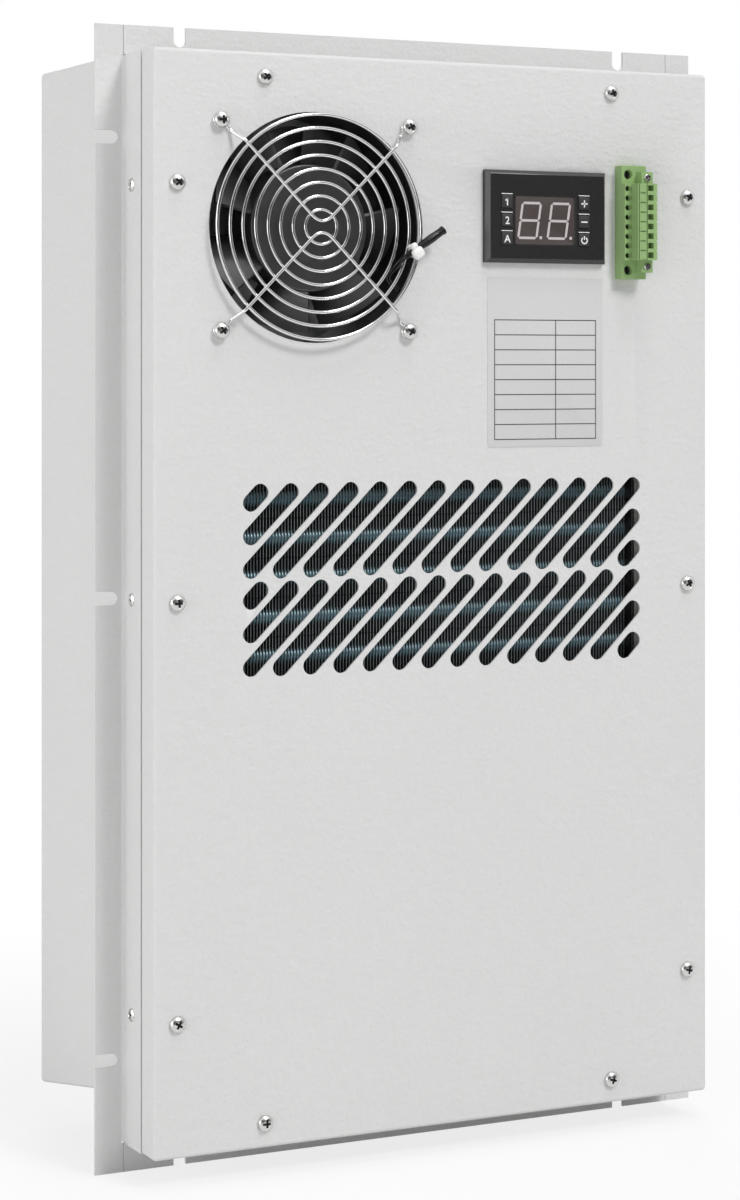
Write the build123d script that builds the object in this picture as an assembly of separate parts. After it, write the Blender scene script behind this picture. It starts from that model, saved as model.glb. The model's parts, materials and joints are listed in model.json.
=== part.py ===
"""Cabinet air conditioner: flanged sheet-metal case, slotted cover, coils, fan and controls."""
import os
from math import atan2, cos, degrees, hypot, radians, sin, tan

from build123d import *

# Frame: X to the right, Y away from the viewer, Z up, in millimetres.
# The origin is the middle of the mounting flange, on the front face that lies against the cabinet.

# Cover and case
COVER_WIDTH = 322.0
COVER_HEIGHT = 550.0
COVER_SHEET = 1.2
COVER_FOLD = 15.8
COVER_EDGE_RADIUS = 2.0
COVER_CLEARANCE = 0.3
FRONT_REACH = 41.5
CASE_REACH = 126.0
CASE_SHEET = 1.2
CASE_CORNER_RADIUS = 2.5
CASE_EDGE_RADIUS = 2.0
CASE_LIP = 18.0
HOOD_RISE = 3.0
FLOOR_STEP = 23.0
FLOOR_SLOPE = 10.0
BACK_PANEL_MARGIN = 6.0
BACK_PANEL_CORNER = 6.0

# Mounting flange
RAIL_SHEET = 1.5
RAIL_REACH = 24.1
FLANGE_WIDTH = 15.0
FLANGE_BEND_RADIUS = 1.5
FLANGE_SEAM = 0.3
FLANGE_RELIEF_RADIUS = 0.8
SLOT_WIDTH = 6.8
SIDE_SLOT_DEPTH = 12.0
SIDE_SLOT_FROM_END = 57.0
END_SLOT_DEPTH = 10.0
END_SLOT_FROM_END = 46.0

# Row of fan, controller and terminals: gaps across it, from left to right, which keep their proportions
FAN_GAP = 9.0
CONTROLLER_GAP = 28.3
TERMINAL_GAP = 7.7
ROW_END_GAP = 21.9
FAN_FROM_TOP = 87.5
CONTROLLER_FROM_TOP = 79.5
TERMINAL_FROM_TOP = 81.3

# Vent slots, on the cover and on the back panel
VENT_X = 3.0
VENT_FROM_TOP = 265.2
VENT_SIDE_MARGIN = 30.0
VENT_PITCH = 16.8
VENT_SLOT_WIDTH = 9.0
VENT_RISE = 39.0
VENT_ROW_PITCH = 49.1
VENT_ROWS = 2
VENT_FIRST = 5.0
BACK_VENT_FROM_END = 155.0

# Circulation fan
FAN_OPENING = 117.0
FAN_SIZE = 119.0
FAN_CORNER = 6.0
FAN_DEPTH = 38.0
FAN_FLANGE = 4.0
FAN_BARREL_WALL = 1.5
FAN_BORE = 116.0
FAN_SCREW_SPACING = 105.0
STRUT_COUNT = 4
STRUT_START = 45.0
STRUT_WIDTH = 5.0
MOTOR_SEAT = 62.0
MOTOR_SEAT_SHEET = 3.0
BEARING_DIAMETER = 12.0
BEARING_LENGTH = 16.0
SHAFT_DIAMETER = 3.2
SHAFT_CLEARANCE = 0.05
RUNNING_GAP = 5.2
HUB_DIAMETER = 65.0
HUB_SETBACK = 6.0
HUB_WALL = 2.0
HUB_EDGE_RADIUS = 1.2
BLADE_COUNT = 7
BLADE_SPAN = 33.0
BLADE_THICKNESS = 1.8
BLADE_SETBACK = 1.4
BLADE_START = 13.0

# Wire guard over the fan
GUARD_WIRE = 2.0
GUARD_STANDOFF = 6.4
GUARD_RINGS = 8
GUARD_OUTER_RADIUS = 56.8
GUARD_RING_PITCH = 6.87
GUARD_WELD = 0.4
GUARD_APEX_RADIUS = 7.2
GUARD_JOGGLE_RADIUS = 2.5
GUARD_JOGGLE = 7.0
GUARD_RIM = 3.0
GUARD_SIDES = 6
EYELET_DIAMETER = 10.0
EYELET_HOLE = 4.4

# Air probe tied to the guard
PROBE_DIAMETER = 5.0
PROBE_LENGTH = 25.0
PROBE_NOSE_RADIUS = 1.6
PROBE_ANGLE = 33.0
PROBE_TIP_DX = 68.0
PROBE_TIP_DZ = -0.2
PROBE_SEAT = 0.2
TIE_LENGTH = 5.0
TIE_SIZE = 9.0
TIE_RADIUS = 2.0
TIE_FROM_TIP = 20.5
TIE_CLEARANCE = 0.1
LEAD_DIAMETER = 2.4
LEAD_GROOVE_CLEARANCE = 0.3
LEAD_ANGLE = -33.0
LEAD_STRAIGHT = 3.0
LEAD_RING_GAP = 2
LEAD_CROSSING_ANGLE = -25.0
LEAD_BEND_SHARE = 0.45

# Controller
CONTROLLER_WIDTH = 72.4
CONTROLLER_HEIGHT = 48.4
CONTROLLER_BEZEL = 5.0
CONTROLLER_BEVEL = 2.0
CONTROLLER_INSET = 3.5
CONTROLLER_BODY = 28.0
CUTOUT_CLEARANCE = 0.3
WINDOW_WIDTH = 35.6
WINDOW_HEIGHT = 25.2
WINDOW_DX = -1.7
WINDOW_DZ = -2.0
WINDOW_SHEET = 1.5
WINDOW_RECESS = 0.3
BUTTON_SIZE = 6.6
BUTTON_PITCH = 9.65
BUTTON_LEFT_DX = -24.5
BUTTON_RIGHT_DX = 21.9
BUTTON_THICKNESS = 1.6
BUTTON_PROUD = 0.4
POCKET_CLEARANCE = 0.15

# Terminal block
HEADER_WIDTH = 15.0
HEADER_HEIGHT = 60.2
HEADER_THICKNESS = 7.0
HEADER_TONGUE = 12.0
HEADER_TONGUE_INSET = 3.0
HEADER_HOLE = 5.2
HEADER_HOLE_DEPTH = 3.5
HEADER_HOLE_SPACING = 50.7
HEADER_HOLE_DX = -3.4
POLE_COUNT = 8
POLE_PITCH = 5.08
PLUG_STEP = 3.2
PLUG_STEP_WIDTH = 4.2
PLUG_THICKNESS = 9.5
PLUG_OVERHANG = 1.2
PLUG_ENTRY = 2.8
PLUG_ENTRY_DEPTH = 5.0
PLUG_ENTRY_DX = 4.8
PLUG_SCREW_HOLE = 2.8
PLUG_SCREW_DEPTH = 2.0
EAR_LENGTH = 6.4
EAR_WIDTH = 7.0
EAR_THICKNESS = 5.0
EAR_SCREW = 4.0
EAR_SCREW_PROUD = 1.0

# Rating label
LABEL_DX = 1.2
LABEL_DROP = 76.3
LABEL_WIDTH = 69.5
LABEL_HEIGHT = 88.5
LABEL_THICKNESS = 0.3

# Coils behind the vents, and the plate between the two air circuits
DIVIDER_SETBACK = 57.0
DIVIDER_CLEARANCE = 0.1
DIVIDER_CORNER = 4.0
FIN_PITCH = 4.0
FIN_SHEET = 0.5
FIN_SETBACK = 11.0
COIL_DEPTH = 34.0
COIL_MARGIN = 9.0
TUBE_DIAMETER = 9.5
TUBE_PITCH = 20.0
TUBE_SETBACK = 6.5
TUBE_CLEARANCE = 0.1
TUBE_OVERHANG = 4.0
END_PLATE_SHEET = 1.5
END_PLATE_GAP = 1.5
END_PLATE_FOOT = 12.0

# Faces and half sizes worked out from the driving dimensions
COVER_FACE = -FRONT_REACH
COVER_BACK = COVER_FACE + COVER_SHEET
CASE_WIDTH = COVER_WIDTH - 2 * (COVER_SHEET + COVER_CLEARANCE)
CASE_HEIGHT = COVER_HEIGHT - 2 * (COVER_SHEET + COVER_CLEARANCE)
CASE_HALF_WIDTH = CASE_WIDTH / 2
CASE_HALF_HEIGHT = CASE_HEIGHT / 2
RAIL_HALF_WIDTH = CASE_HALF_WIDTH + RAIL_SHEET
RAIL_HALF_HEIGHT = CASE_HALF_HEIGHT + RAIL_SHEET
FLANGE_HALF_WIDTH = RAIL_HALF_WIDTH + FLANGE_WIDTH
FLANGE_HALF_HEIGHT = RAIL_HALF_HEIGHT + FLANGE_WIDTH
SIDE_SLOT_OFFSET = FLANGE_HALF_HEIGHT - SIDE_SLOT_FROM_END
END_SLOT_OFFSET = FLANGE_HALF_WIDTH - END_SLOT_FROM_END
BACK_VENT_OFFSET = COVER_HEIGHT / 2 - BACK_VENT_FROM_END
DIVIDER_FRONT = COVER_FACE + DIVIDER_SETBACK
DIVIDER_BACK = DIVIDER_FRONT + CASE_SHEET
FLOOR_FRONT = FLOOR_STEP - CASE_HALF_HEIGHT
HOOD_TOP = CASE_HALF_HEIGHT + HOOD_RISE
THROUGH = 4 * max(COVER_SHEET, CASE_SHEET, RAIL_SHEET)

# Places in the row of fan, controller and terminals, which shares out the width between the case's lips
ROW_LEFT = CASE_LIP - CASE_HALF_WIDTH
PROBE_OVERHANG = PROBE_TIP_DX - FAN_SIZE / 2
ROW_PIECES = FAN_SIZE + PROBE_OVERHANG + CONTROLLER_WIDTH + HEADER_WIDTH + PLUG_OVERHANG
GAP_SCALE = (-2 * ROW_LEFT - ROW_PIECES) / (FAN_GAP + CONTROLLER_GAP + TERMINAL_GAP + ROW_END_GAP)
FAN_X = ROW_LEFT + GAP_SCALE * FAN_GAP + FAN_SIZE / 2
CONTROLLER_LEFT = FAN_X + PROBE_TIP_DX + GAP_SCALE * CONTROLLER_GAP
CONTROLLER_X = CONTROLLER_LEFT + CONTROLLER_WIDTH / 2
TERMINAL_X = CONTROLLER_LEFT + CONTROLLER_WIDTH + GAP_SCALE * TERMINAL_GAP + HEADER_WIDTH / 2
FAN_Z = COVER_HEIGHT / 2 - FAN_FROM_TOP
CONTROLLER_Z = COVER_HEIGHT / 2 - CONTROLLER_FROM_TOP
TERMINAL_Z = COVER_HEIGHT / 2 - TERMINAL_FROM_TOP
LABEL_X = CONTROLLER_X + LABEL_DX
LABEL_Z = CONTROLLER_Z - LABEL_DROP
VENT_Z = COVER_HEIGHT / 2 - VENT_FROM_TOP
VENT_WIDTH = -2 * ROW_LEFT - 2 * VENT_SIDE_MARGIN

# The fan's own frame: X right, Y up and Z towards the viewer, from the cover's front face
FAN_PLANE = Plane(origin=(FAN_X, COVER_FACE, FAN_Z), x_dir=(1, 0, 0), z_dir=(0, -1, 0))
FAN_FRONT = -COVER_SHEET
FAN_REAR = FAN_FRONT - FAN_DEPTH
BORE_RADIUS = FAN_BORE / 2
TIP_RADIUS = BORE_RADIUS - RUNNING_GAP
HUB_FRONT = FAN_FRONT - HUB_SETBACK
HUB_REAR = FAN_REAR + FAN_FLANGE + RUNNING_GAP
RING_LEVEL = GUARD_STANDOFF
ARM_LEVEL = RING_LEVEL + GUARD_WIRE - GUARD_WELD


def block(x, y, z):
    """A box between a low and a high limit on each axis."""
    limits = (x, y, z)
    middle = [(low + high) / 2 for low, high in limits]
    size = [high - low for low, high in limits]
    return Pos(*middle) * Box(*size)


def plate(sketch, front, thickness):
    """A plate from a sketch in X and Z, with its front at a given Y."""
    return extrude(Plane.XZ.offset(-front) * sketch, amount=-thickness)


def drilled(sketch, middle):
    """A cutter through a sheet whose front face is near a given Y."""
    return plate(sketch, middle - THROUGH, 2 * THROUGH)


def pan(x, y, z, sheet, radius, open_axis, open_side):
    """A sheet-metal pan with rounded bends, open on one side of one axis."""
    limits = [list(x), list(y), list(z)]
    inner = [[low + sheet, high - sheet] for low, high in limits]
    inner[open_axis][open_side] = limits[open_axis][open_side]
    axes = (Axis.X, Axis.Y, Axis.Z)
    outer_solid = bent_block(limits, axes[open_axis], open_side, radius)
    inner_solid = bent_block(inner, axes[open_axis], open_side, radius - sheet)
    return outer_solid - inner_solid


def bent_block(limits, axis, open_side, radius):
    """A box rounded on every edge except those of its open face."""
    solid = block(*limits)
    open_face = solid.faces().sort_by(axis)[-1 if open_side else 0]
    open_edges = open_face.edges()
    bends = [edge for edge in solid.edges() if edge not in open_edges]
    return fillet(bends, radius)


def vent_field(middle_z):
    """Two rows of slots at 45 degrees, cut short where they meet the sides of their field."""
    left = VENT_X - VENT_WIDTH / 2
    right = VENT_X + VENT_WIDTH / 2
    count = int((VENT_WIDTH + VENT_RISE - VENT_FIRST) / VENT_PITCH) + 1
    field = Sketch()
    for row in range(VENT_ROWS):
        top = middle_z + VENT_RISE / 2 + (VENT_ROWS - 1 - 2 * row) * VENT_ROW_PITCH / 2
        for index in range(count):
            upper = left + VENT_FIRST + index * VENT_PITCH
            start = max(upper - VENT_RISE, left)
            end = min(upper, right)
            length = (end - start) * 2 ** 0.5
            middle = ((start + end) / 2, top - upper + (start + end) / 2)
            field += Pos(*middle) * Rot(0, 0, 45) * SlotCenterToCenter(length, VENT_SLOT_WIDTH)
    return field


def controller_outline(clearance):
    """The rectangle where the controller goes through the cover."""
    width = CONTROLLER_WIDTH - 2 * CONTROLLER_INSET + 2 * clearance
    height = CONTROLLER_HEIGHT - 2 * CONTROLLER_INSET + 2 * clearance
    return Pos(CONTROLLER_X, CONTROLLER_Z) * Rectangle(width, height)


def header_outline(clearance):
    """The rectangle where the terminal header goes through the cover."""
    width = HEADER_WIDTH - 2 * HEADER_TONGUE_INSET + 2 * clearance
    height = POLE_COUNT * POLE_PITCH + 2 * clearance
    return Pos(TERMINAL_X, TERMINAL_Z) * Rectangle(width, height)


def front_cover():
    """The pan that closes the front, with openings for fan, controls and air."""
    half_width = COVER_WIDTH / 2
    half_height = COVER_HEIGHT / 2
    cover = pan((-half_width, half_width), (COVER_FACE, COVER_FACE + COVER_FOLD),
                (-half_height, half_height), COVER_SHEET, COVER_EDGE_RADIUS, 1, 1)
    openings = vent_field(VENT_Z)
    openings += Pos(FAN_X, FAN_Z) * Circle(FAN_OPENING / 2)
    openings += controller_outline(CUTOUT_CLEARANCE)
    openings += header_outline(CUTOUT_CLEARANCE)
    return cover - drilled(openings, COVER_FACE)


def floor_level(y):
    """Height of the case's sloping floor at a depth behind the flange."""
    return FLOOR_FRONT - (y - RAIL_SHEET) * tan(radians(FLOOR_SLOPE))


def case_section(inset):
    """The case's side view less an inset: behind the flange its top is raised and its floor slopes."""
    outline = Polyline((COVER_BACK, -CASE_HALF_HEIGHT), (RAIL_SHEET, -CASE_HALF_HEIGHT),
                       (RAIL_SHEET, FLOOR_FRONT), (CASE_REACH, floor_level(CASE_REACH)),
                       (CASE_REACH, HOOD_TOP), (RAIL_SHEET, HOOD_TOP),
                       (RAIL_SHEET, CASE_HALF_HEIGHT), (COVER_BACK, CASE_HALF_HEIGHT), close=True)
    section = make_face(outline)
    inner_corners = [(RAIL_SHEET, FLOOR_FRONT), (RAIL_SHEET, CASE_HALF_HEIGHT)]
    bends = [corner for corner in section.vertices() if (corner.X, corner.Y) not in inner_corners]
    section = fillet(bends, CASE_CORNER_RADIUS)
    return offset(section, -inset, kind=Kind.INTERSECTION) if inset else section


def case_length(inset, start, end):
    """The case's side view, less an inset, drawn out along X."""
    return extrude(Plane.YZ.offset(start) * case_section(inset), amount=end - start)


def side_panel(side):
    """A side of the case: a plate with a lip all round, open to the inside."""
    inner = side * (CASE_HALF_WIDTH - CASE_LIP)
    tray = case_length(0, inner, side * CASE_HALF_WIDTH)
    tray = fillet(outer_rim(tray, side), CASE_EDGE_RADIUS)
    hollow = case_length(CASE_SHEET, inner, side * (CASE_HALF_WIDTH - CASE_SHEET))
    hollow = fillet(outer_rim(hollow, side), CASE_EDGE_RADIUS - CASE_SHEET)
    return tray - hollow


def outer_rim(tray, side):
    """The edges of a tray's outer face."""
    return tray.faces().sort_by(Axis.X)[-1 if side > 0 else 0].edges()


def end_panel(side):
    """The case's top or floor: a folded sheet between the lips of the side panels."""
    half_length = CASE_HALF_WIDTH - CASE_LIP
    sleeve = case_length(0, -half_length, half_length) - case_length(CASE_SHEET, -half_length, half_length)
    lip_end = HOOD_TOP - CASE_LIP if side > 0 else FLOOR_FRONT + CASE_LIP
    band = block((-half_length, half_length), (COVER_BACK, CASE_REACH),
                 sorted((lip_end, side * FLANGE_HALF_HEIGHT)))
    return sleeve & band


def back_panel():
    """The slotted panel that closes the back, laid on the lips of the case."""
    outline = RectangleRounded(CASE_WIDTH - 2 * BACK_PANEL_MARGIN, CASE_HEIGHT - 2 * BACK_PANEL_MARGIN,
                               BACK_PANEL_CORNER)
    for side in (-1, 1):
        outline -= vent_field(side * BACK_VENT_OFFSET)
    return plate(outline, CASE_REACH, CASE_SHEET)


def notch(depth):
    """An open-ended slot that runs along X from the origin to its round end."""
    straight = depth - SLOT_WIDTH / 2
    return (Pos(straight / 2, 0) * Rectangle(straight, SLOT_WIDTH)
            + Pos(straight, 0) * Circle(SLOT_WIDTH / 2))


def corner_reliefs():
    """Round cuts where the flange's bends end, at its four corners."""
    corners = GridLocations(2 * RAIL_HALF_WIDTH, 2 * RAIL_HALF_HEIGHT, 2, 2)
    return drilled(Sketch() + corners * Circle(FLANGE_RELIEF_RADIUS), 0)


def bent_rail(wall, flange, on_bend):
    """Wall and flange of a rail, joined, with the bend that passes a given point rounded."""
    rail = wall + flange
    return fillet(rail.edges().sort_by_distance(on_bend)[0], FLANGE_BEND_RADIUS)


def side_rail(side):
    """The left or right mounting angle, as tall as the whole flange."""
    wall = block(sorted((side * CASE_HALF_WIDTH, side * RAIL_HALF_WIDTH)), (-RAIL_REACH, RAIL_SHEET),
                 (-RAIL_HALF_HEIGHT, RAIL_HALF_HEIGHT))
    flange = block(sorted((side * RAIL_HALF_WIDTH, side * FLANGE_HALF_WIDTH)), (0, RAIL_SHEET),
                   (-FLANGE_HALF_HEIGHT, FLANGE_HALF_HEIGHT))
    slots = Sketch()
    for height in (-SIDE_SLOT_OFFSET, 0, SIDE_SLOT_OFFSET):
        inward = Rot(0, 0, 90 + 90 * side)
        slots += Pos(side * FLANGE_HALF_WIDTH, height) * inward * notch(SIDE_SLOT_DEPTH)
    rail = bent_rail(wall, flange, (side * RAIL_HALF_WIDTH, 0, 0))
    return rail - drilled(slots, 0) - corner_reliefs()


def end_rail(side):
    """The top or bottom mounting angle, between the side ones."""
    wall = block((-CASE_HALF_WIDTH, CASE_HALF_WIDTH), (-RAIL_REACH, RAIL_SHEET),
                 sorted((side * CASE_HALF_HEIGHT, side * RAIL_HALF_HEIGHT)))
    half_length = RAIL_HALF_WIDTH - FLANGE_SEAM
    flange = block((-half_length, half_length), (0, RAIL_SHEET),
                   sorted((side * RAIL_HALF_HEIGHT, side * FLANGE_HALF_HEIGHT)))
    slots = Sketch()
    for across in (-END_SLOT_OFFSET, END_SLOT_OFFSET):
        slots += Pos(across, side * FLANGE_HALF_HEIGHT) * Rot(0, 0, -90 * side) * notch(END_SLOT_DEPTH)
    rail = bent_rail(wall, flange, (0, 0, side * RAIL_HALF_HEIGHT))
    return rail - drilled(slots, 0) - corner_reliefs()


def tube_heights(middle_z, height):
    """Heights of a coil's tubes, evenly spaced about its middle."""
    count = int(height / TUBE_PITCH)
    return [middle_z + (index - (count - 1) / 2) * TUBE_PITCH for index in range(count)]


def coil_limits():
    """Left and right ends of a coil's fins."""
    reach = VENT_WIDTH / 2 + VENT_SLOT_WIDTH / 2
    return VENT_X - reach, VENT_X + reach


def coil_fins(front, middle_z, height):
    """A pack of upright fins."""
    left, right = coil_limits()
    count = int((right - left) / FIN_PITCH)
    start = (left + right) / 2 - (count - 1) / 2 * FIN_PITCH
    fin = Pos(start, front + COIL_DEPTH / 2, middle_z) * Box(FIN_SHEET, COIL_DEPTH, height)
    fins = [Pos(index * FIN_PITCH, 0, 0) * fin for index in range(count)]
    return Compound(children=fins)


def tube_depth(front, seat):
    """Where a coil's tubes lie in Y: behind the fin edges that face away from the seat."""
    return front + TUBE_SETBACK if seat > front else front + COIL_DEPTH - TUBE_SETBACK


def coil_tubes(front, middle_z, height, seat):
    """The tubes that run through a fin pack and its end plates."""
    left, right = coil_limits()
    length = right - left + 2 * (END_PLATE_GAP + END_PLATE_SHEET + TUBE_OVERHANG)
    tube = Rot(0, 90, 0) * Cylinder(TUBE_DIAMETER / 2, length)
    tubes = [Pos((left + right) / 2, tube_depth(front, seat), level) * tube
             for level in tube_heights(middle_z, height)]
    return Compound(children=tubes)


def coil_end_plate(side, front, middle_z, height, seat):
    """The folded plate that carries one end of a coil, with its foot on the seat."""
    end = coil_limits()[0 if side < 0 else 1]
    inner = end + side * END_PLATE_GAP
    outer = inner + side * END_PLATE_SHEET
    z = (middle_z - height / 2, middle_z + height / 2)
    toward_seat = 1 if seat > front else -1
    web_start = front if toward_seat > 0 else front + COIL_DEPTH
    web = block(sorted((inner, outer)), sorted((web_start, seat)), z)
    foot = block(sorted((inner, outer + side * END_PLATE_FOOT)),
                 sorted((seat - toward_seat * END_PLATE_SHEET, seat)), z)
    hole = Rot(0, 90, 0) * Cylinder(TUBE_DIAMETER / 2 + TUBE_CLEARANCE, THROUGH)
    holes = [Pos((inner + outer) / 2, tube_depth(front, seat), level) * hole
             for level in tube_heights(middle_z, height)]
    return (web + foot) - holes


def air_divider():
    """The plate across the case that keeps the two air circuits apart."""
    bottom = floor_level(DIVIDER_FRONT) + CASE_SHEET / cos(radians(FLOOR_SLOPE)) + DIVIDER_CLEARANCE
    top = HOOD_TOP - CASE_SHEET - DIVIDER_CLEARANCE
    outline = RectangleRounded(CASE_WIDTH - 2 * CASE_SHEET, top - bottom, DIVIDER_CORNER)
    return plate(Pos(0, (bottom + top) / 2) * outline, DIVIDER_FRONT, CASE_SHEET)


def disc(radius, near, far):
    """A cylinder about the fan's axis between two levels, in the fan's frame."""
    return Pos(0, 0, (near + far) / 2) * Cylinder(radius, abs(near - far))


def lead_groove():
    """The groove in the fan's front flange that takes the probe's lead."""
    width = LEAD_DIAMETER + 2 * LEAD_GROOVE_CLEARANCE
    length = FAN_SIZE
    groove = Pos(length / 2, 0, FAN_FRONT - width / 2) * Box(length, width, width)
    start = disc(BORE_RADIUS - FAN_BARREL_WALL, FAN_FRONT, FAN_FRONT - width)
    return Rot(0, 0, LEAD_ANGLE) * (groove - start)


def fan_housing():
    """The fan's square frame with its barrel, struts, motor seat and bearing tube."""
    outline = RectangleRounded(FAN_SIZE, FAN_SIZE, FAN_CORNER)
    flange = extrude(outline, amount=-FAN_FLANGE)
    frame = disc(BORE_RADIUS + FAN_BARREL_WALL, FAN_FRONT, FAN_REAR)
    frame += Pos(0, 0, FAN_FRONT) * flange
    frame += Pos(0, 0, FAN_REAR + FAN_FLANGE) * flange
    frame -= disc(BORE_RADIUS, FAN_FRONT + THROUGH, FAN_REAR - THROUGH)
    strut_length = BORE_RADIUS + FAN_BARREL_WALL / 2
    strut = Pos(strut_length / 2, 0, FAN_REAR + FAN_FLANGE / 2) * Box(strut_length, STRUT_WIDTH, FAN_FLANGE)
    frame += [Rot(0, 0, STRUT_START + 360 / STRUT_COUNT * index) * strut for index in range(STRUT_COUNT)]
    frame += disc(MOTOR_SEAT / 2, FAN_REAR + MOTOR_SEAT_SHEET, FAN_REAR)
    frame += disc(BEARING_DIAMETER / 2, FAN_REAR + MOTOR_SEAT_SHEET + BEARING_LENGTH, FAN_REAR)
    frame -= disc(SHAFT_DIAMETER / 2 + SHAFT_CLEARANCE, FAN_FRONT, FAN_REAR - THROUGH)
    return FAN_PLANE * (frame - lead_groove())


def blade():
    """One pitched fan blade, cut to the hub and the tip circle."""
    front = HUB_FRONT - BLADE_SETBACK
    rear = HUB_REAR
    inner_radius = HUB_DIAMETER / 2 - HUB_WALL / 2
    sections = []
    for radius in (inner_radius / 2, TIP_RADIUS + BLADE_THICKNESS):
        sweep_back = radius * tan(radians(BLADE_SPAN))
        chord = hypot(sweep_back, front - rear)
        pitch = degrees(atan2(front - rear, sweep_back))
        station = Plane(origin=(radius, 0, 0), x_dir=(0, 1, 0), z_dir=(1, 0, 0))
        middle = Pos(-sweep_back / 2, (front + rear) / 2)
        sections.append(station * middle * Rot(0, 0, pitch) * Rectangle(chord, BLADE_THICKNESS))
    ring = disc(TIP_RADIUS, HUB_FRONT, HUB_REAR) - disc(inner_radius, HUB_FRONT, HUB_REAR)
    return loft(sections) & ring


def fan_impeller():
    """The rotor: a cup over the motor, its blades and its shaft."""
    cup = disc(HUB_DIAMETER / 2, HUB_FRONT, HUB_REAR)
    rim = cup.faces().sort_by(Axis.Z)[-1].edges()
    cup = fillet(rim, HUB_EDGE_RADIUS)
    cup -= disc(HUB_DIAMETER / 2 - HUB_WALL, HUB_FRONT - HUB_WALL, HUB_REAR - THROUGH)
    rotor = cup + disc(SHAFT_DIAMETER / 2, HUB_FRONT - HUB_WALL / 2, FAN_REAR)
    first = blade()
    rotor += [Rot(0, 0, BLADE_START + 360 / BLADE_COUNT * index) * first for index in range(BLADE_COUNT)]
    return FAN_PLANE * rotor


def guard_ring(radius):
    """One wire ring of the guard, with a section of few sides."""
    section = Plane.XZ * Pos(radius, RING_LEVEL) * RegularPolygon(GUARD_WIRE / 2, GUARD_SIDES)
    return revolve(section, Axis.Z)


def guard_arm():
    """A wire bent to a V across the rings, stepped down to the cover at both ends."""
    half = FAN_SCREW_SPACING / 2
    seat = GUARD_WIRE / 2
    rim = (GUARD_OUTER_RADIUS + GUARD_RIM) * cos(radians(45))
    foot = rim + GUARD_JOGGLE * cos(radians(45))
    tip = half - EYELET_DIAMETER / 2 * cos(radians(45)) + GUARD_WIRE / 2
    left = [(-tip, tip, seat), (-foot, foot, seat), (-rim, rim, ARM_LEVEL)]
    right = [(-x, y, z) for x, y, z in reversed(left)]
    radii = [GUARD_JOGGLE_RADIUS] * 2 + [GUARD_APEX_RADIUS] + [GUARD_JOGGLE_RADIUS] * 2
    path = FilletPolyline(*left, (0, 0, ARM_LEVEL), *right, radius=radii)
    start = Plane(origin=path @ 0, z_dir=path % 0)
    wire = sweep(start * RegularPolygon(GUARD_WIRE / 2, GUARD_SIDES), path)
    eyelet = Cylinder(EYELET_DIAMETER / 2, GUARD_WIRE) - Cylinder(EYELET_HOLE / 2, GUARD_WIRE)
    return wire + [Pos(side * half, half, seat) * eyelet for side in (-1, 1)]


def fan_guard():
    """The wire guard: rings welded under two bent wires."""
    rings = [guard_ring(GUARD_OUTER_RADIUS - GUARD_RING_PITCH * index) for index in range(GUARD_RINGS)]
    arm = guard_arm()
    guard = arm + Rot(0, 0, 180) * arm
    guard += rings
    return FAN_PLANE * guard


def probe_axis():
    """The probe's frame: X along it towards the tip, from the tip, lying on the guard's rings."""
    level = RING_LEVEL + GUARD_WIRE / 2 + PROBE_SEAT + PROBE_DIAMETER / 2
    along = (cos(radians(PROBE_ANGLE)), sin(radians(PROBE_ANGLE)), 0)
    return Plane(origin=(PROBE_TIP_DX, PROBE_TIP_DZ, level), x_dir=along, z_dir=(0, 0, 1))


def probe_solid(growth):
    """The probe's round-nosed sleeve, grown by a clearance, in the fan's frame."""
    radius = PROBE_DIAMETER / 2 + growth
    sleeve = Pos(-PROBE_LENGTH / 2, 0, 0) * Rot(0, 90, 0) * Cylinder(radius, PROBE_LENGTH)
    nose = sleeve.faces().sort_by(Axis.X)[-1].edges()
    return probe_axis() * fillet(nose, PROBE_NOSE_RADIUS)


def probe_tie():
    """The clip that ties the probe to the guard's outer rings."""
    knob = Pos(-TIE_FROM_TIP, 0, -GUARD_WIRE / 2) * Box(TIE_LENGTH, TIE_SIZE, TIE_SIZE)
    knob = probe_axis() * fillet(knob.edges(), TIE_RADIUS)
    knob -= probe_solid(TIE_CLEARANCE)
    for index in range(2):
        radius = GUARD_OUTER_RADIUS - GUARD_RING_PITCH * index
        knob -= Pos(0, 0, RING_LEVEL) * Torus(radius, GUARD_WIRE / 2 + TIE_CLEARANCE)
    return FAN_PLANE * knob


def probe_lead():
    """The probe's lead, from the sleeve back through the guard into the groove of the fan's flange."""
    level = FAN_FRONT - LEAD_DIAMETER / 2 - LEAD_GROOVE_CLEARANCE
    start = (probe_axis() * Pos(-PROBE_LENGTH, 0, 0)).position
    straight = (probe_axis() * Pos(-PROBE_LENGTH - LEAD_STRAIGHT, 0, 0)).position
    groove = Vector(cos(radians(LEAD_ANGLE)), sin(radians(LEAD_ANGLE)), 0)
    between_rings = GUARD_OUTER_RADIUS - (LEAD_RING_GAP - 1 / 2) * GUARD_RING_PITCH
    crossing = Vector(between_rings, 0, RING_LEVEL).rotate(Axis.Z, LEAD_CROSSING_ANGLE)
    turning = Vector(between_rings, 0, GUARD_WIRE / 2).rotate(Axis.Z, LEAD_ANGLE)
    entry = groove * (BORE_RADIUS - FAN_BARREL_WALL) + Vector(0, 0, level)
    end = groove * (FAN_SIZE / 2 / cos(radians(LEAD_ANGLE))) + Vector(0, 0, level)
    points = [start, straight, crossing, turning, entry, end]
    radii = [tangent_radius(*points[index:index + 3]) for index in range(len(points) - 2)]
    path = FilletPolyline(*points, radius=radii)
    section = Plane(origin=path @ 0, z_dir=path % 0) * Circle(LEAD_DIAMETER / 2)
    return FAN_PLANE * sweep(section, path)


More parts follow.
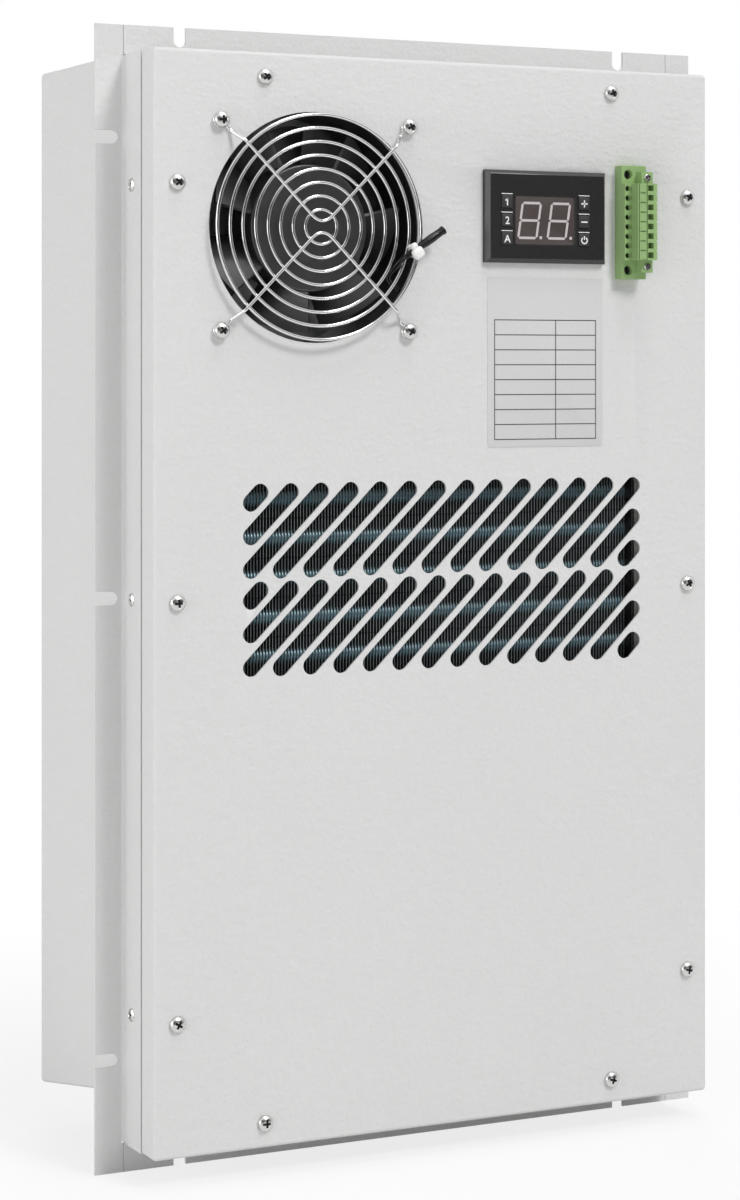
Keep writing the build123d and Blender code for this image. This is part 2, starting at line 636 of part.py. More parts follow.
def tangent_radius(before, corner, after):
    """The radius of an arc that takes a set share of a corner's shorter run."""
    turn = (corner - before).get_angle(after - corner)
    run = min((corner - before).length, (after - corner).length)
    return LEAD_BEND_SHARE * run / tan(radians(turn / 2))


def bezel_rectangle(dx, dz, width, height):
    """A rectangle placed from the middle of the controller."""
    return Pos(CONTROLLER_X + dx, CONTROLLER_Z + dz) * Rectangle(width, height)


def button_outlines(clearance):
    """The six button faces, in two columns of three."""
    size = BUTTON_SIZE + 2 * clearance
    outlines = Sketch()
    for dx in (BUTTON_LEFT_DX, BUTTON_RIGHT_DX):
        for row in (-1, 0, 1):
            outlines += bezel_rectangle(dx, WINDOW_DZ + row * BUTTON_PITCH, size, size)
    return outlines


def controller_case():
    """The controller's bevelled bezel, with the body that goes through the cover."""
    bezel_front = COVER_FACE - CONTROLLER_BEZEL
    bezel = plate(bezel_rectangle(0, 0, CONTROLLER_WIDTH, CONTROLLER_HEIGHT), bezel_front, CONTROLLER_BEZEL)
    rim = bezel.faces().sort_by(Axis.Y)[0].edges()
    bezel = chamfer(rim, CONTROLLER_BEZEL / 2, CONTROLLER_BEVEL)
    body = plate(controller_outline(0), COVER_FACE, CONTROLLER_BODY)
    window = bezel_rectangle(WINDOW_DX, WINDOW_DZ, WINDOW_WIDTH + 2 * POCKET_CLEARANCE,
                             WINDOW_HEIGHT + 2 * POCKET_CLEARANCE)
    bezel -= plate(window, bezel_front, WINDOW_RECESS + WINDOW_SHEET)
    bezel -= plate(button_outlines(POCKET_CLEARANCE), bezel_front, BUTTON_THICKNESS - BUTTON_PROUD)
    return bezel + body


def controller_window():
    """The display's window, set into the bezel."""
    outline = bezel_rectangle(WINDOW_DX, WINDOW_DZ, WINDOW_WIDTH, WINDOW_HEIGHT)
    return plate(outline, COVER_FACE - CONTROLLER_BEZEL + WINDOW_RECESS, WINDOW_SHEET)


def controller_buttons():
    """The six buttons, each in its pocket of the bezel."""
    return plate(button_outlines(0), COVER_FACE - CONTROLLER_BEZEL - BUTTON_PROUD, BUTTON_THICKNESS)


def pole_heights():
    """Heights of the terminal block's poles."""
    return [TERMINAL_Z + (index - (POLE_COUNT - 1) / 2) * POLE_PITCH for index in range(POLE_COUNT)]


def terminal_header():
    """The fixed half of the terminal block, screwed to the cover."""
    front = COVER_FACE - HEADER_THICKNESS
    outline = Pos(TERMINAL_X, TERMINAL_Z) * Rectangle(HEADER_WIDTH, HEADER_HEIGHT)
    header = plate(outline, front, HEADER_THICKNESS)
    header += plate(header_outline(0), COVER_FACE, HEADER_TONGUE)
    holes = Sketch()
    for side in (-1, 1):
        place = Pos(TERMINAL_X + HEADER_HOLE_DX, TERMINAL_Z + side * HEADER_HOLE_SPACING / 2)
        holes += place * Circle(HEADER_HOLE / 2)
    return header - plate(holes, front, HEADER_HOLE_DEPTH)


def ear_places():
    """The two ends of the plug, where its ears stand."""
    offset = POLE_COUNT * POLE_PITCH / 2 + EAR_LENGTH / 2
    across = TERMINAL_X + HEADER_WIDTH / 2 + PLUG_OVERHANG - EAR_WIDTH / 2
    return [(across, TERMINAL_Z + side * offset) for side in (-1, 1)]


def terminal_plug():
    """The pluggable half, with wire entries in front and clamp screws on its step."""
    seat = COVER_FACE - HEADER_THICKNESS
    left = TERMINAL_X - HEADER_WIDTH / 2
    right = TERMINAL_X + HEADER_WIDTH / 2 + PLUG_OVERHANG
    height = POLE_COUNT * POLE_PITCH
    profile = Polyline((left, seat), (left, seat - PLUG_STEP), (left + PLUG_STEP_WIDTH, seat - PLUG_STEP),
                       (left + PLUG_STEP_WIDTH, seat - PLUG_THICKNESS), (right, seat - PLUG_THICKNESS),
                       (right, seat), close=True)
    plug = Pos(0, 0, TERMINAL_Z - height / 2) * extrude(make_face(profile), amount=height)
    entries = Sketch()
    screws = Sketch()
    for level in pole_heights():
        entries += Pos(TERMINAL_X + PLUG_ENTRY_DX, level) * Rectangle(PLUG_ENTRY, PLUG_ENTRY)
        screws += Pos(left + PLUG_STEP_WIDTH / 2, level) * Circle(PLUG_SCREW_HOLE / 2)
    plug -= plate(entries, seat - PLUG_THICKNESS, PLUG_ENTRY_DEPTH)
    plug -= plate(screws, seat - PLUG_STEP, PLUG_SCREW_DEPTH)
    for place in ear_places():
        plug += plate(Pos(*place) * Rectangle(EAR_WIDTH, EAR_LENGTH), seat - EAR_THICKNESS, EAR_THICKNESS)
    return plug


def terminal_screws():
    """The two screws that hold the plug to the header."""
    front = COVER_FACE - HEADER_THICKNESS - EAR_THICKNESS - EAR_SCREW_PROUD
    heads = Sketch() + [Pos(*place) * Circle(EAR_SCREW / 2) for place in ear_places()]
    return plate(heads, front, EAR_SCREW_PROUD)


def rating_label():
    """The sticker on the cover."""
    outline = Pos(LABEL_X, LABEL_Z) * Rectangle(LABEL_WIDTH, LABEL_HEIGHT)
    return plate(outline, COVER_FACE - LABEL_THICKNESS, LABEL_THICKNESS)


def coil_parts(name, front, middle_z, height, seat):
    """The nodes of one coil."""
    return {
        f"{name}_fins": coil_fins(front, middle_z, height),
        f"{name}_tubes": coil_tubes(front, middle_z, height, seat),
        f"{name}_left_end_plate": coil_end_plate(-1, front, middle_z, height, seat),
        f"{name}_right_end_plate": coil_end_plate(1, front, middle_z, height, seat),
    }


def build():
    """Every named piece of the air conditioner."""
    vent_height = VENT_RISE + (VENT_ROWS - 1) * VENT_ROW_PITCH + VENT_SLOT_WIDTH
    coil_height = vent_height + 2 * COIL_MARGIN
    condenser_height = 2 * BACK_VENT_OFFSET + coil_height
    condenser_front = CASE_REACH - FIN_SETBACK - COIL_DEPTH
    pieces = {
        "front_cover": front_cover(),
        "left_side_panel": side_panel(-1),
        "right_side_panel": side_panel(1),
        "top_panel": end_panel(1),
        "bottom_panel": end_panel(-1),
        "back_panel": back_panel(),
        "left_mounting_angle": side_rail(-1),
        "right_mounting_angle": side_rail(1),
        "top_mounting_angle": end_rail(1),
        "bottom_mounting_angle": end_rail(-1),
        "air_divider": air_divider(),
        "fan_housing": fan_housing(),
        "fan_impeller": fan_impeller(),
        "fan_guard": fan_guard(),
        "probe_sleeve": FAN_PLANE * probe_solid(0),
        "probe_tie": probe_tie(),
        "probe_lead": probe_lead(),
        "controller_case": controller_case(),
        "controller_window": controller_window(),
        "controller_buttons": controller_buttons(),
        "terminal_header": terminal_header(),
        "terminal_plug": terminal_plug(),
        "terminal_screws": terminal_screws(),
        "rating_label": rating_label(),
    }
    pieces.update(coil_parts("evaporator", COVER_FACE + FIN_SETBACK, VENT_Z, coil_height, DIVIDER_FRONT))
    pieces.update(coil_parts("condenser", condenser_front, 0, condenser_height, DIVIDER_BACK))
    return pieces


os.makedirs("parts", exist_ok=True)
for node, shape in build().items():
    export_step(shape, f"parts/{node}.step")
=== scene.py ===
"""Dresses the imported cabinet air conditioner: screws, guard wires, coils, controls, finishes and studio."""
import json
from math import cos, pi, radians, tan

import bmesh
import bpy
from bpy.props import FloatProperty, FloatVectorProperty, IntProperty, PointerProperty
from bpy.types import Operator, Panel, PropertyGroup
from mathutils import Matrix, Vector


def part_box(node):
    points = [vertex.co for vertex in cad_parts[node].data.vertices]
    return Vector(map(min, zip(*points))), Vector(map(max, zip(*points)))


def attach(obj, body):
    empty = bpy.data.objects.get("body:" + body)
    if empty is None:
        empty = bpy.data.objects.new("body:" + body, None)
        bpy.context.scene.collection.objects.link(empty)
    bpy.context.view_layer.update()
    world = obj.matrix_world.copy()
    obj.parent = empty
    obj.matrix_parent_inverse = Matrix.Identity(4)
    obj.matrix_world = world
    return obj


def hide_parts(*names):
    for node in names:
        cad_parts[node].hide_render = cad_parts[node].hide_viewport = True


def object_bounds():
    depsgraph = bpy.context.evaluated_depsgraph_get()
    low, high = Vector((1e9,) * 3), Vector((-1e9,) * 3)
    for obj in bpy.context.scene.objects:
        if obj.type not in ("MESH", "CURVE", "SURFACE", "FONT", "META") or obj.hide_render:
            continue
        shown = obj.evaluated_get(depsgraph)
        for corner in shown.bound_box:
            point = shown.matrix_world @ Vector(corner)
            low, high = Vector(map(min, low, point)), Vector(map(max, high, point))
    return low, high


bl_info = {
    "name": "Cabinet air conditioner",
    "version": (1, 0, 0),
    "blender": (4, 5, 0),
    "location": "View3D > Sidebar > Cabinet cooler",
    "description": "Dresses the packed cabinet air conditioner and sets up its studio",
    "category": "Object",
}

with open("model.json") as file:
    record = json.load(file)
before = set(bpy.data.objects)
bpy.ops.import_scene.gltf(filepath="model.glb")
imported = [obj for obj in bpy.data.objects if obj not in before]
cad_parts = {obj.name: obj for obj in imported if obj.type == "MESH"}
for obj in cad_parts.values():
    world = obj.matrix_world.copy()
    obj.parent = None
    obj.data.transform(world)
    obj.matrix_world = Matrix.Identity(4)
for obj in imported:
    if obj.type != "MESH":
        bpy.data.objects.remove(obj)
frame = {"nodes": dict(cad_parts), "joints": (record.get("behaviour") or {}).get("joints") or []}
CAD_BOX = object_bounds()
NODES = frame["nodes"]
HOUSING = "housing"
SIDES = ("left", "right", "top", "bottom")
COILS = ("evaporator", "condenser")
MM = 0.001

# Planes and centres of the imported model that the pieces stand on
COVER_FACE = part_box("front_cover")[0].y
BACK_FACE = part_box("back_panel")[1].y
FAN_X, _, FAN_Z = frame["joints"][0]["pos_m"]

# Overshoot of a cutter past the surface that it cuts
CLEAR = 1 * MM
WHITE = (1, 1, 1, 1)

# Outlines of the screw heads from the axis outwards and back, in shares of a head's radius and height
PAN_HEAD = ((0, 0), (0.97, 0), (1, 0.06), (1, 0.3), (0.965, 0.47), (0.88, 0.65), (0.73, 0.82), (0.52, 0.93),
            (0.27, 0.985), (0, 1))
LOW_HEAD = ((0, -1 / 6), (1, -1 / 6), (1, 0.25), (0.85, 0.65), (0.5, 0.92), (0, 1))
SUNK_HEAD = ((0, -1), (0.9, -1), (0.96, -0.3), (0.9, 0), (0, 0))
CHEESE_HEAD = ((0, 0), (1, 0), (1, 0.7), (0.86, 1), (0, 1))

# Outline of the probe's sleeve: shares of its radius, and millimetres from its rear end and then from its tip
SLEEVE_REAR = ((0, 0), (0.62, 0), (0.78, 0.6), (0.86, 5), (0.90, 9), (1.08, 12), (1.12, 17), (1.02, 20))
SLEEVE_TIP = ((1.0, -2.2), (1.12, -0.6), (1.10, -0.15), (1.0, 0), (0.84, 0), (0.76, -0.3), (0.70, -1.6),
              (0, -1.8))

# Head and cut end of the tie: two corners and the edges' radius in millimetres, and the steps of that radius
TIE_BLOCKS = (((-5.4, -4.4, -3.2), (-1.2, 1.6, 3.2), 1.9, 4), ((-4.8, 1.2, -1.8), (-2.0, 4.4, 1.8), 1.2, 3))

# Route of the probe's lead in millimetres: right, up and forwards from the fan's centre on the cover
LEAD_ROUTE = ((47.03, -13.82, 10.1), (44.52, -15.45, 10.1), (42.14, -19.65, 6.4), (38.99, -25.32, 1.0),
              (47.38, -30.77, -2.7), (59.5, -38.64, -2.7))
# Half the distance between the lead's two strands at each point of the route, in millimetres
LEAD_SPREAD = (0.65, 0.65, 1.0, 0.9, 0.65, 0.65)

# Distances of each digit and of its point to the right of the window's middle, in millimetres
DIGIT_PLACES = ((-9.2, -2.5), (8.4, 15.6))

# Signs on the two columns of keys, and their strokes in shares of a sign's height
KEY_SIGNS = (("1", "2", "A"), ("+", "-", "power"))
LETTER_SIZE = 1.38
BAR = (0.94, 0.18)
FLAG = (0.44, 0.17)
FLAG_PLACE = (-0.14, 0.29)
FLAG_SLOPE = radians(38)
POWER_RADIUS = 0.42
POWER_STROKE = 0.17
POWER_OPENING = radians(38)
POWER_TICK = 0.5
POWER_TICK_LEVEL = 0.32

# Turns of the two screws that lock the terminal plug
LOCK_TURNS = (radians(70), radians(20))

# Lamps: place and side in metres, and power in watts
LAMPS = {
    "key": ((1.8, -5.0, 5.2), 1.7, 268.0),
    "left": ((-2.4, 0.5, 0.5), 1.6, 19.0),
    "side": ((-2.3, -0.95, 0.1), 1.0, 9.0),
    "fill": ((-1.3, -2.4, -0.1), 1.2, 11.5),
    "rear": ((1.4, 3.2, 1.4), 1.6, 45.0),
    "top": ((0.2, -0.7, 2.6), 1.0, 20.0),
}
LAMP_AIM = (0, 0, 0.05)

# Black cards that bright metal mirrors: place and side in metres
CARDS = {"camera_card": ((-1.05, -2.15, 0.0), 3.2), "right_card": ((1.65, -2.1, 0.1), 2.3)}


def length(name, description, millimetres):
    """A length property whose default is given in millimetres."""
    return FloatProperty(name=name, description=description, default=millimetres * MM, unit="LENGTH",
                         precision=5)


def angle(name, description, degrees):
    """An angle property whose default is given in degrees."""
    return FloatProperty(name=name, description=description, default=radians(degrees), unit="ROTATION")


def share(name, description, value):
    """A property that is a share of another size."""
    return FloatProperty(name=name, description=description, default=value)


def colour(name, description, shade):
    """A colour property."""
    return FloatVectorProperty(name=name, description=description, default=shade, size=3, subtype="COLOR",
                               min=0.0, max=1.0)


class ScrewSizes(PropertyGroup):
    """Sizes of the screws."""
    head: length("Head", "Diameter of a pan head", 8.4)
    rise: length("Rise", "Height of a pan head", 3.0)
    low_head: length("Low head", "Diameter of the low heads on the collar and the sunk heads", 6.8)
    low_rise: length("Low rise", "Height of a low head on the collar", 1.2)
    sunk: length("Sunk depth", "Depth of the sunk heads in the back panel", 1.1)
    sinking: share("Sinking", "Depth of the hole for a sunk head by the head's depth", 1.05)
    recess: length("Recess", "Length of the cross recess", 5.6)
    recess_width: length("Recess width", "Width of each arm of the recess", 1.4)
    recess_depth: length("Recess depth", "Depth of the recess of a pan head", 2.0)
    low_recess: share("Low recess", "Depth of a low head's recess by the head's height", 0.9)
    sunk_recess: share("Sunk recess", "Depth of a sunk head's recess by the head's depth", 0.8)
    taper: share("Taper", "Size of a recess at its bottom by its size at the top", 0.2)
    # The floor entries place dark discs of painted shade down each recess
    floor: share("Floor", "Level of the dark floor in a pan head by the head's height", 0.84)
    low_floor: share("Low floor", "Level of that floor in a low head", 0.6)
    sunk_floor: share("Sunk floor", "Level of that floor in a sunk head by the head's depth", -0.45)
    floor_radius: share("Floor radius", "Radius of that floor by the recess's length", 0.42)
    floor_sheet: length("Floor sheet", "Thickness of that floor", 0.2)
    across: length("Across", "Distance of the end screws from the middle line", 101.0)
    along: length("Along", "Distance of the end screws from the middle height", 262.5)
    side: length("Side", "Distance of the side screws from the middle line", 148.6)
    side_along: length("Side along", "Distance of the outer side screws from the middle height", 208.3)
    back_spread: share("Back spread", "Places of the back panel's screws by those of the cover's", 0.98)
    collar_depth: length("Collar depth", "Distance of the collar's screws in front of the flange", 12.0)
    turn: angle("Turn", "Turn of each screw against the one before", 37.0)
    collar_start: angle("Collar start", "Turn of the middle screws on the collar", 70.0)
    collar_turn: angle("Collar turn", "Turn of the screws above them against these", 53.0)


class EdgeSizes(PropertyGroup):
    """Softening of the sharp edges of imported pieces."""
    panel: length("Panel", "Edges of the back panel", 0.3)
    cover: length("Cover", "Edges of the front cover", 0.45)
    angles: length("Angles", "Edges of the mounting angles", 0.25)
    bezel: length("Bezel", "Edges of the controller's case", 0.18)
    header: length("Header", "Edges of the terminal header", 0.2)
    plug: length("Plug", "Edges of the terminal plug", 0.15)


class GuardSizes(PropertyGroup):
    """Sizes of the fan's wire guard."""
    wire: length("Wire", "Diameter of the guard's wire", 1.8)
    rings: IntProperty(name="Rings", description="Number of wire rings", default=8, min=1)
    outer: length("Outer ring", "Radius of the largest ring", 56.8)
    pitch: length("Ring pitch", "Step in radius from ring to ring", 6.87)
    standoff: length("Stand-off", "Height of the rings over the cover", 6.4)
    arm_level: length("Arm level", "Height of the bent wires over the cover", 8.0)
    screws: length("Screw spacing", "Side of the screw square", 105.0)
    eye: length("Eye", "Radius of the wire loop round a screw", 3.5)
    rim: length("Rim", "Reach of the bent wires past the outer ring", 3.0)
    step: length("Step", "Length over which a bent wire steps down to the cover", 7.0)
    bend: length("Bend", "Reach of the bends at a step", 2.4)
    apex: length("Apex", "Reach of the bend at the middle", 17.0)
    start: angle("Start", "Turn of the first screw", 34.377)
    turn: angle("Turn", "Turn of each screw against the one before", 57.296)


class CoilSizes(PropertyGroup):
    """Sizes of the two finned coils."""
    pitch: length("Fin pitch", "Distance from fin to fin", 1.73)
    sheet: length("Fin sheet", "Thickness of a fin", 0.26)
    trim: length("Trim", "Distance of the fins' edges behind the packed fins' faces", 1.1)
    edge: length("Bare edge", "Depth of the bare cut edge of a fin", 0.25)
    fold: length("Fold", "Distance between the folds along a fin", 5.0)
    fold_width: length("Fold width", "Half the width of a fold", 0.35)
    tube: length("Tube", "Diameter of a tube", 9.5)
    tube_pitch: length("Tube pitch", "Distance from tube to tube", 20.0)
    lip: length("Lip", "Depth of the lip folded from the end plate", 1.7)
    lip_bend: length("Lip bend", "Radius of the fold of that lip", 0.6)


class ProbeSizes(PropertyGroup):
    """Sizes of the air probe, its tie and its lead, from the fan's centre on the cover."""
    slant: angle("Slant", "Angle of the probe to the horizontal", 33.0)
    tip_x: length("Tip across", "Distance of the tip to the right", 68.0)
    tip_z: length("Tip height", "Height of the tip", -0.2)
    level: length("Level", "Height of the probe over the cover", 10.1)
    sleeve: length("Sleeve", "Length of the shrink sleeve", 25.0)
    radius: length("Radius", "Radius of the shrink sleeve", 2.1)
    tie: length("Tie", "Distance of the tie from the tip", 20.5)
    band: length("Band", "Width of the tie's band", 2.6)
    band_inner: length("Band inside", "Inner radius of the tie's band", 3.0)
    band_outer: length("Band outside", "Outer radius of the tie's band", 4.1)
    band_shift: length("Band shift", "Distance of the band's middle behind the probe's", 1.1)
    band_squeeze: share("Band squeeze", "Width of the band by its depth", 0.86)
    strand: length("Strand", "Diameter of each of the lead's two strands", 1.2)
    lead: length("Lead", "Length of the lead", 40.0)


class DisplaySizes(PropertyGroup):
    """Sizes of the controller's display and keys."""
    pane_corner: length("Pane corner", "Radius of the window's corners", 1.3)
    pane_edge: length("Pane edge", "Softening of the window's front edge", 0.25)
    digit_height: length("Digit height", "Height of a digit", 19.6)
    digit_width: length("Digit width", "Width of a digit", 12.2)
    stroke: length("Stroke", "Width of a digit's segments", 1.3)
    gap: length("Gap", "Distance of a segment from the corner of its digit", 0.2)
    slant: angle("Slant", "Lean of the digits", 8.5)
    dot: length("Dot", "Radius of the decimal points", 0.85)
    dot_drop: length("Dot drop", "Distance of the points below the window's middle", 8.9)
    key: length("Key", "Side of a key", 6.6)
    key_corner: length("Key corner", "Radius of a key's corners", 0.6)
    key_edge: length("Key edge", "Softening of a key's front edge", 0.3)
    line: length("Line", "Width of the line over a key", 0.42)
    line_corner: length("Line corner", "Radius of that line's corners", 0.15)
    line_gap: length("Line gap", "Distance of that line from its key", 0.75)
    mark: length("Key mark", "Height of the marks on the keys", 4.0)
    mark_drop: length("Mark drop", "Distance of the marks below the keys' middles", 0.2)
    mark_corner: length("Mark corner", "Radius of the corners of a mark's strokes", 0.04)
    mark_weight: length("Mark weight", "Thickening of the letters", 0.06)
    ink: length("Ink", "Thickness of the printed marks", 0.05)


class TerminalSizes(PropertyGroup):
    """Sizes of the small features of the terminal block."""
    poles: IntProperty(name="Poles", description="Number of poles", default=8, min=1)
    pitch: length("Pitch", "Distance from pole to pole", 5.08)
    step: length("Step", "Width of the step with the clamp screws", 4.2)
    step_rise: length("Step rise", "Height of that step over the header", 3.2)
    line: length("Line", "Width of the engraved lines", 0.6)
    line_depth: length("Line depth", "Depth of the lines between the poles", 1.0)
    field: length("Field", "Distance of these lines from the step", 1.6)
    field_width: length("Field width", "Length of these lines", 3.4)
    border_gap: length("Border gap", "Distance of the upright lines from these lines", 0.75)
    border_depth: length("Border depth", "Depth of the upright lines", 0.9)
    slot: length("Slot", "Distance of the slots' far sides from the step's edge", 0.55)
    slot_near: length("Slot near", "Distance of the slots' near sides from the step's edge", 0.1)
    slot_height: length("Slot height", "Height of a slot", 2.4)
    slot_depth: length("Slot depth", "Depth of a slot", 2.2)
    notch: length("Notch", "Depth of the notches in the right side", 0.5)
    notch_height: length("Notch height", "Height of a notch", 0.8)
    entry: length("Entry", "Distance of the wire entries from the right side", 3.9)
    entry_width: length("Entry width", "Width of a wire entry", 3.4)
    entry_depth: length("Entry depth", "Depth of a wire entry", 7.2)
    entry_below: length("Entry below", "Reach of a wire entry below its pole", 1.36)
    entry_above: length("Entry above", "Reach of a wire entry above its pole", 1.615)
    plate: length("Clamp plate", "Thickness of the clamp in an entry", 0.8)
    plate_drop: length("Clamp drop", "Distance of the clamp's top below its pole", 0.34)
    hole: length("Hole", "Diameter of the holes over the clamp screws", 3.2)
    hole_x: length("Hole across", "Distance of these holes from the left side", 1.9)
    hole_depth: length("Hole depth", "Depth of these holes", 2.5)
    clamp: length("Clamp screw", "Diameter of a clamp screw", 2.7)
    clamp_rise: length("Clamp rise", "Height of a clamp screw", 0.6)
    clamp_turn: angle("Clamp turn", "Turn of each clamp screw against the one before", 25.0)
    lock: length("Lock screw", "Diameter of the screws in the ears", 4.0)
    mounting: length("Mounting screw", "Diameter of the screws in the header", 4.6)
    mounting_x: length("Mounting screw across", "Distance of these screws from the left side", 4.1)
    mounting_z: length("Mounting screw height", "Distance of these screws from the middle", 25.35)
    mounting_depth: length("Mounting screw depth", "Depth of these screws in the header", 3.5)


class LabelSizes(PropertyGroup):
    """Sizes of the sticker and its ruled table."""
    corner: length("Corner", "Radius of the sticker's corners", 1.0)
    edge: length("Edge", "Softening of the sticker's front edge", 0.06)
    margin: length("Margin", "Distance of the table from the sticker's sides", 4.2)
    foot: length("Foot", "Distance of the table from the sticker's bottom", 4.0)
    top: length("Top", "Distance of the table from the sticker's top", 22.0)
    rows: IntProperty(name="Rows", description="Number of rows", default=8, min=1)
    column: share("Column", "Width of the first column by the table's width", 0.60)
    line: length("Line", "Half the width of a line", 0.27)


class FinishColours(PropertyGroup):
    """Colours of the finishes."""
    coat: colour("Powder coat", "Light grey of the sheet metal", (0.655, 0.655, 0.652))
    # Painted shade: the near-black colour of the walls in the gap under the cover's edge
    bare_edge_and_painted_shade: colour("Painted gap shade", "Uncoated sheet under the cover's edge", (0.045, 0.045, 0.045))
    zinc: colour("Zinc", "Galvanised sheet", (0.50, 0.51, 0.52))
    plate: colour("Plate", "Dull end plate of the front coil", (0.52, 0.50, 0.48))
    fins: colour("Fins", "Coating of the fin stock", (0.030, 0.034, 0.036))
    fin_edge: colour("Fin edges", "Bare cut edges of the fins", (0.27, 0.30, 0.30))
    tubes: colour("Tubes", "Fin collars on the tubes", (0.07, 0.15, 0.19))
    # Painted highlight: the paler colour along the tops of the collars, where the light from above falls
    painted_top_highlight: colour("Painted top highlight", "Tops of the fin collars", (0.32, 0.50, 0.57))
    fan: colour("Fan", "Moulded plastic of the fan", (0.012, 0.012, 0.012))
    hub: colour("Impeller", "Moulded plastic of the impeller", (0.026, 0.026, 0.026))
    chrome: colour("Chrome", "Plated guard wire", (0.74, 0.74, 0.74))
    screws: colour("Screws", "Plated screws", (0.64, 0.64, 0.63))
    recess: colour("Recess", "Shaded bottom of a screw's recess", (0.012, 0.012, 0.012))
    # Partly dull plating and partly painted shade: near-black so the screws and clamps down the terminal's
    # holes read as shaded
    steel: colour("Steel", "Dull screws of the terminals", (0.06, 0.06, 0.057))
    sleeve: colour("Sleeve", "Shrink sleeve and lead", (0.010, 0.010, 0.011))
    tie: colour("Tie", "Nylon tie", (0.83, 0.83, 0.81))
    bezel: colour("Bezel", "Controller's case", (0.018, 0.018, 0.018))
    keys: colour("Keys", "Controller's keys", (0.024, 0.024, 0.024))
    window: colour("Window", "Smoked display window", (0.072, 0.059, 0.057))
    digits: colour("Digits", "Unlit digits", (0.53, 0.48, 0.485))
    ink: colour("Ink", "White marks", (0.80, 0.80, 0.80))
    green: colour("Terminals", "Moulded terminal plastic", (0.268, 0.412, 0.167))
    label: colour("Label", "Satin sticker", (0.590, 0.590, 0.590))
    rule: colour("Rules", "Printed lines of the sticker", (0.03, 0.03, 0.03))


class StudioSettings(PropertyGroup):
    """Camera, light and floor."""
    camera: FloatVectorProperty(name="Camera", description="Place of the camera", size=3,
                                subtype="TRANSLATION", default=(-0.6997, -1.37125, 0.11783))
    aim: FloatVectorProperty(name="Aim", description="Direction of the camera", size=3, subtype="DIRECTION",
                             default=(0.4432, 0.8964, 0.0008))
    lens: FloatProperty(name="Lens", description="Focal length", default=87.12, unit="CAMERA")
    shift: FloatProperty(name="Shift", description="Vertical shift of the lens", default=-0.1977)
    ambient: FloatProperty(name="Ambient", description="Strength of the light from all round", default=0.26)
    floor: length("Floor", "Side of the floor", 8000.0)
    fade_start: length("Fade start", "Distance from the middle at which the floor starts to fade", 300.0)
    fade_end: length("Fade end", "Distance from the middle at which the floor is white", 750.0)
    fade: share("Fade", "White of the floor near the part", 0.78)


class CoolerSettings(PropertyGroup):
    """All sizes and colours of the dressed part."""
    screws: PointerProperty(type=ScrewSizes)
    edges: PointerProperty(type=EdgeSizes)
    guard: PointerProperty(type=GuardSizes)
    coils: PointerProperty(type=CoilSizes)
    probe: PointerProperty(type=ProbeSizes)
    display: PointerProperty(type=DisplaySizes)
    terminals: PointerProperty(type=TerminalSizes)
    label: PointerProperty(type=LabelSizes)
    colours: PointerProperty(type=FinishColours)
    studio: PointerProperty(type=StudioSettings)


# Nodes and finishes

def arithmetic(operation, swapped=False):
    """A method of a socket that adds a Math node."""
    def method(field, *others):
        values = (*others, field) if swapped else (field, *others)
        return field.nodes.add("ShaderNodeMath", {"operation": operation}, dict(enumerate(values)))
    return method


class Field:
    """A shader socket that takes part in Python arithmetic by adding Math nodes."""

    def __init__(self, nodes, socket):
        self.nodes = nodes
        self.socket = socket

    __add__ = arithmetic("ADD")
    __radd__ = arithmetic("ADD", swapped=True)
    __sub__ = arithmetic("SUBTRACT")
    __rsub__ = arithmetic("SUBTRACT", swapped=True)
    __mul__ = arithmetic("MULTIPLY")
    __rmul__ = arithmetic("MULTIPLY", swapped=True)
    __abs__ = arithmetic("ABSOLUTE")
    __lt__ = arithmetic("LESS_THAN")
    __gt__ = arithmetic("GREATER_THAN")
    # The larger of two values, a run up and down between 0 and a reach, and what is left over whole steps
    either = arithmetic("MAXIMUM")
    wave = arithmetic("PINGPONG")
    remainder = arithmetic("MODULO")


class Nodes:
    """The node tree of a material or world, emptied and then filled node by node."""

    def __init__(self, owner, output):
        owner.use_nodes = True
        self.tree = owner.node_tree
        self.tree.nodes.clear()
        self.output = self.tree.nodes.new(output)

    def add(self, kind, settings=None, inputs=None, output=0):
        """A node of a kind, with its settings made first and then its sockets filled."""
        node = self.tree.nodes.new(kind)
        for key, value in (settings or {}).items():
            setattr(node, key, value)
        self.fill(node, inputs or {})
        return Field(self, node.outputs[output])

    def fill(self, node, inputs):
        """Gives a node's sockets their values or links."""
        for key, value in inputs.items():
            if isinstance(value, Field):
                self.tree.links.new(value.socket, node.inputs[key])
            else:
                node.inputs[key].default_value = value

    def show(self, surface):
        """Links a shader to the output, in place of the one before."""
        self.fill(self.output, {"Surface": surface})

    def rays(self, first, *others):
        """Whether a ray is of one of the given kinds."""
        kinds = self.add("ShaderNodeLightPath").socket.node.outputs
        shown = Field(self, kinds[first])
        for other in others:
            shown = shown.either(Field(self, kinds[other]))
        return shown


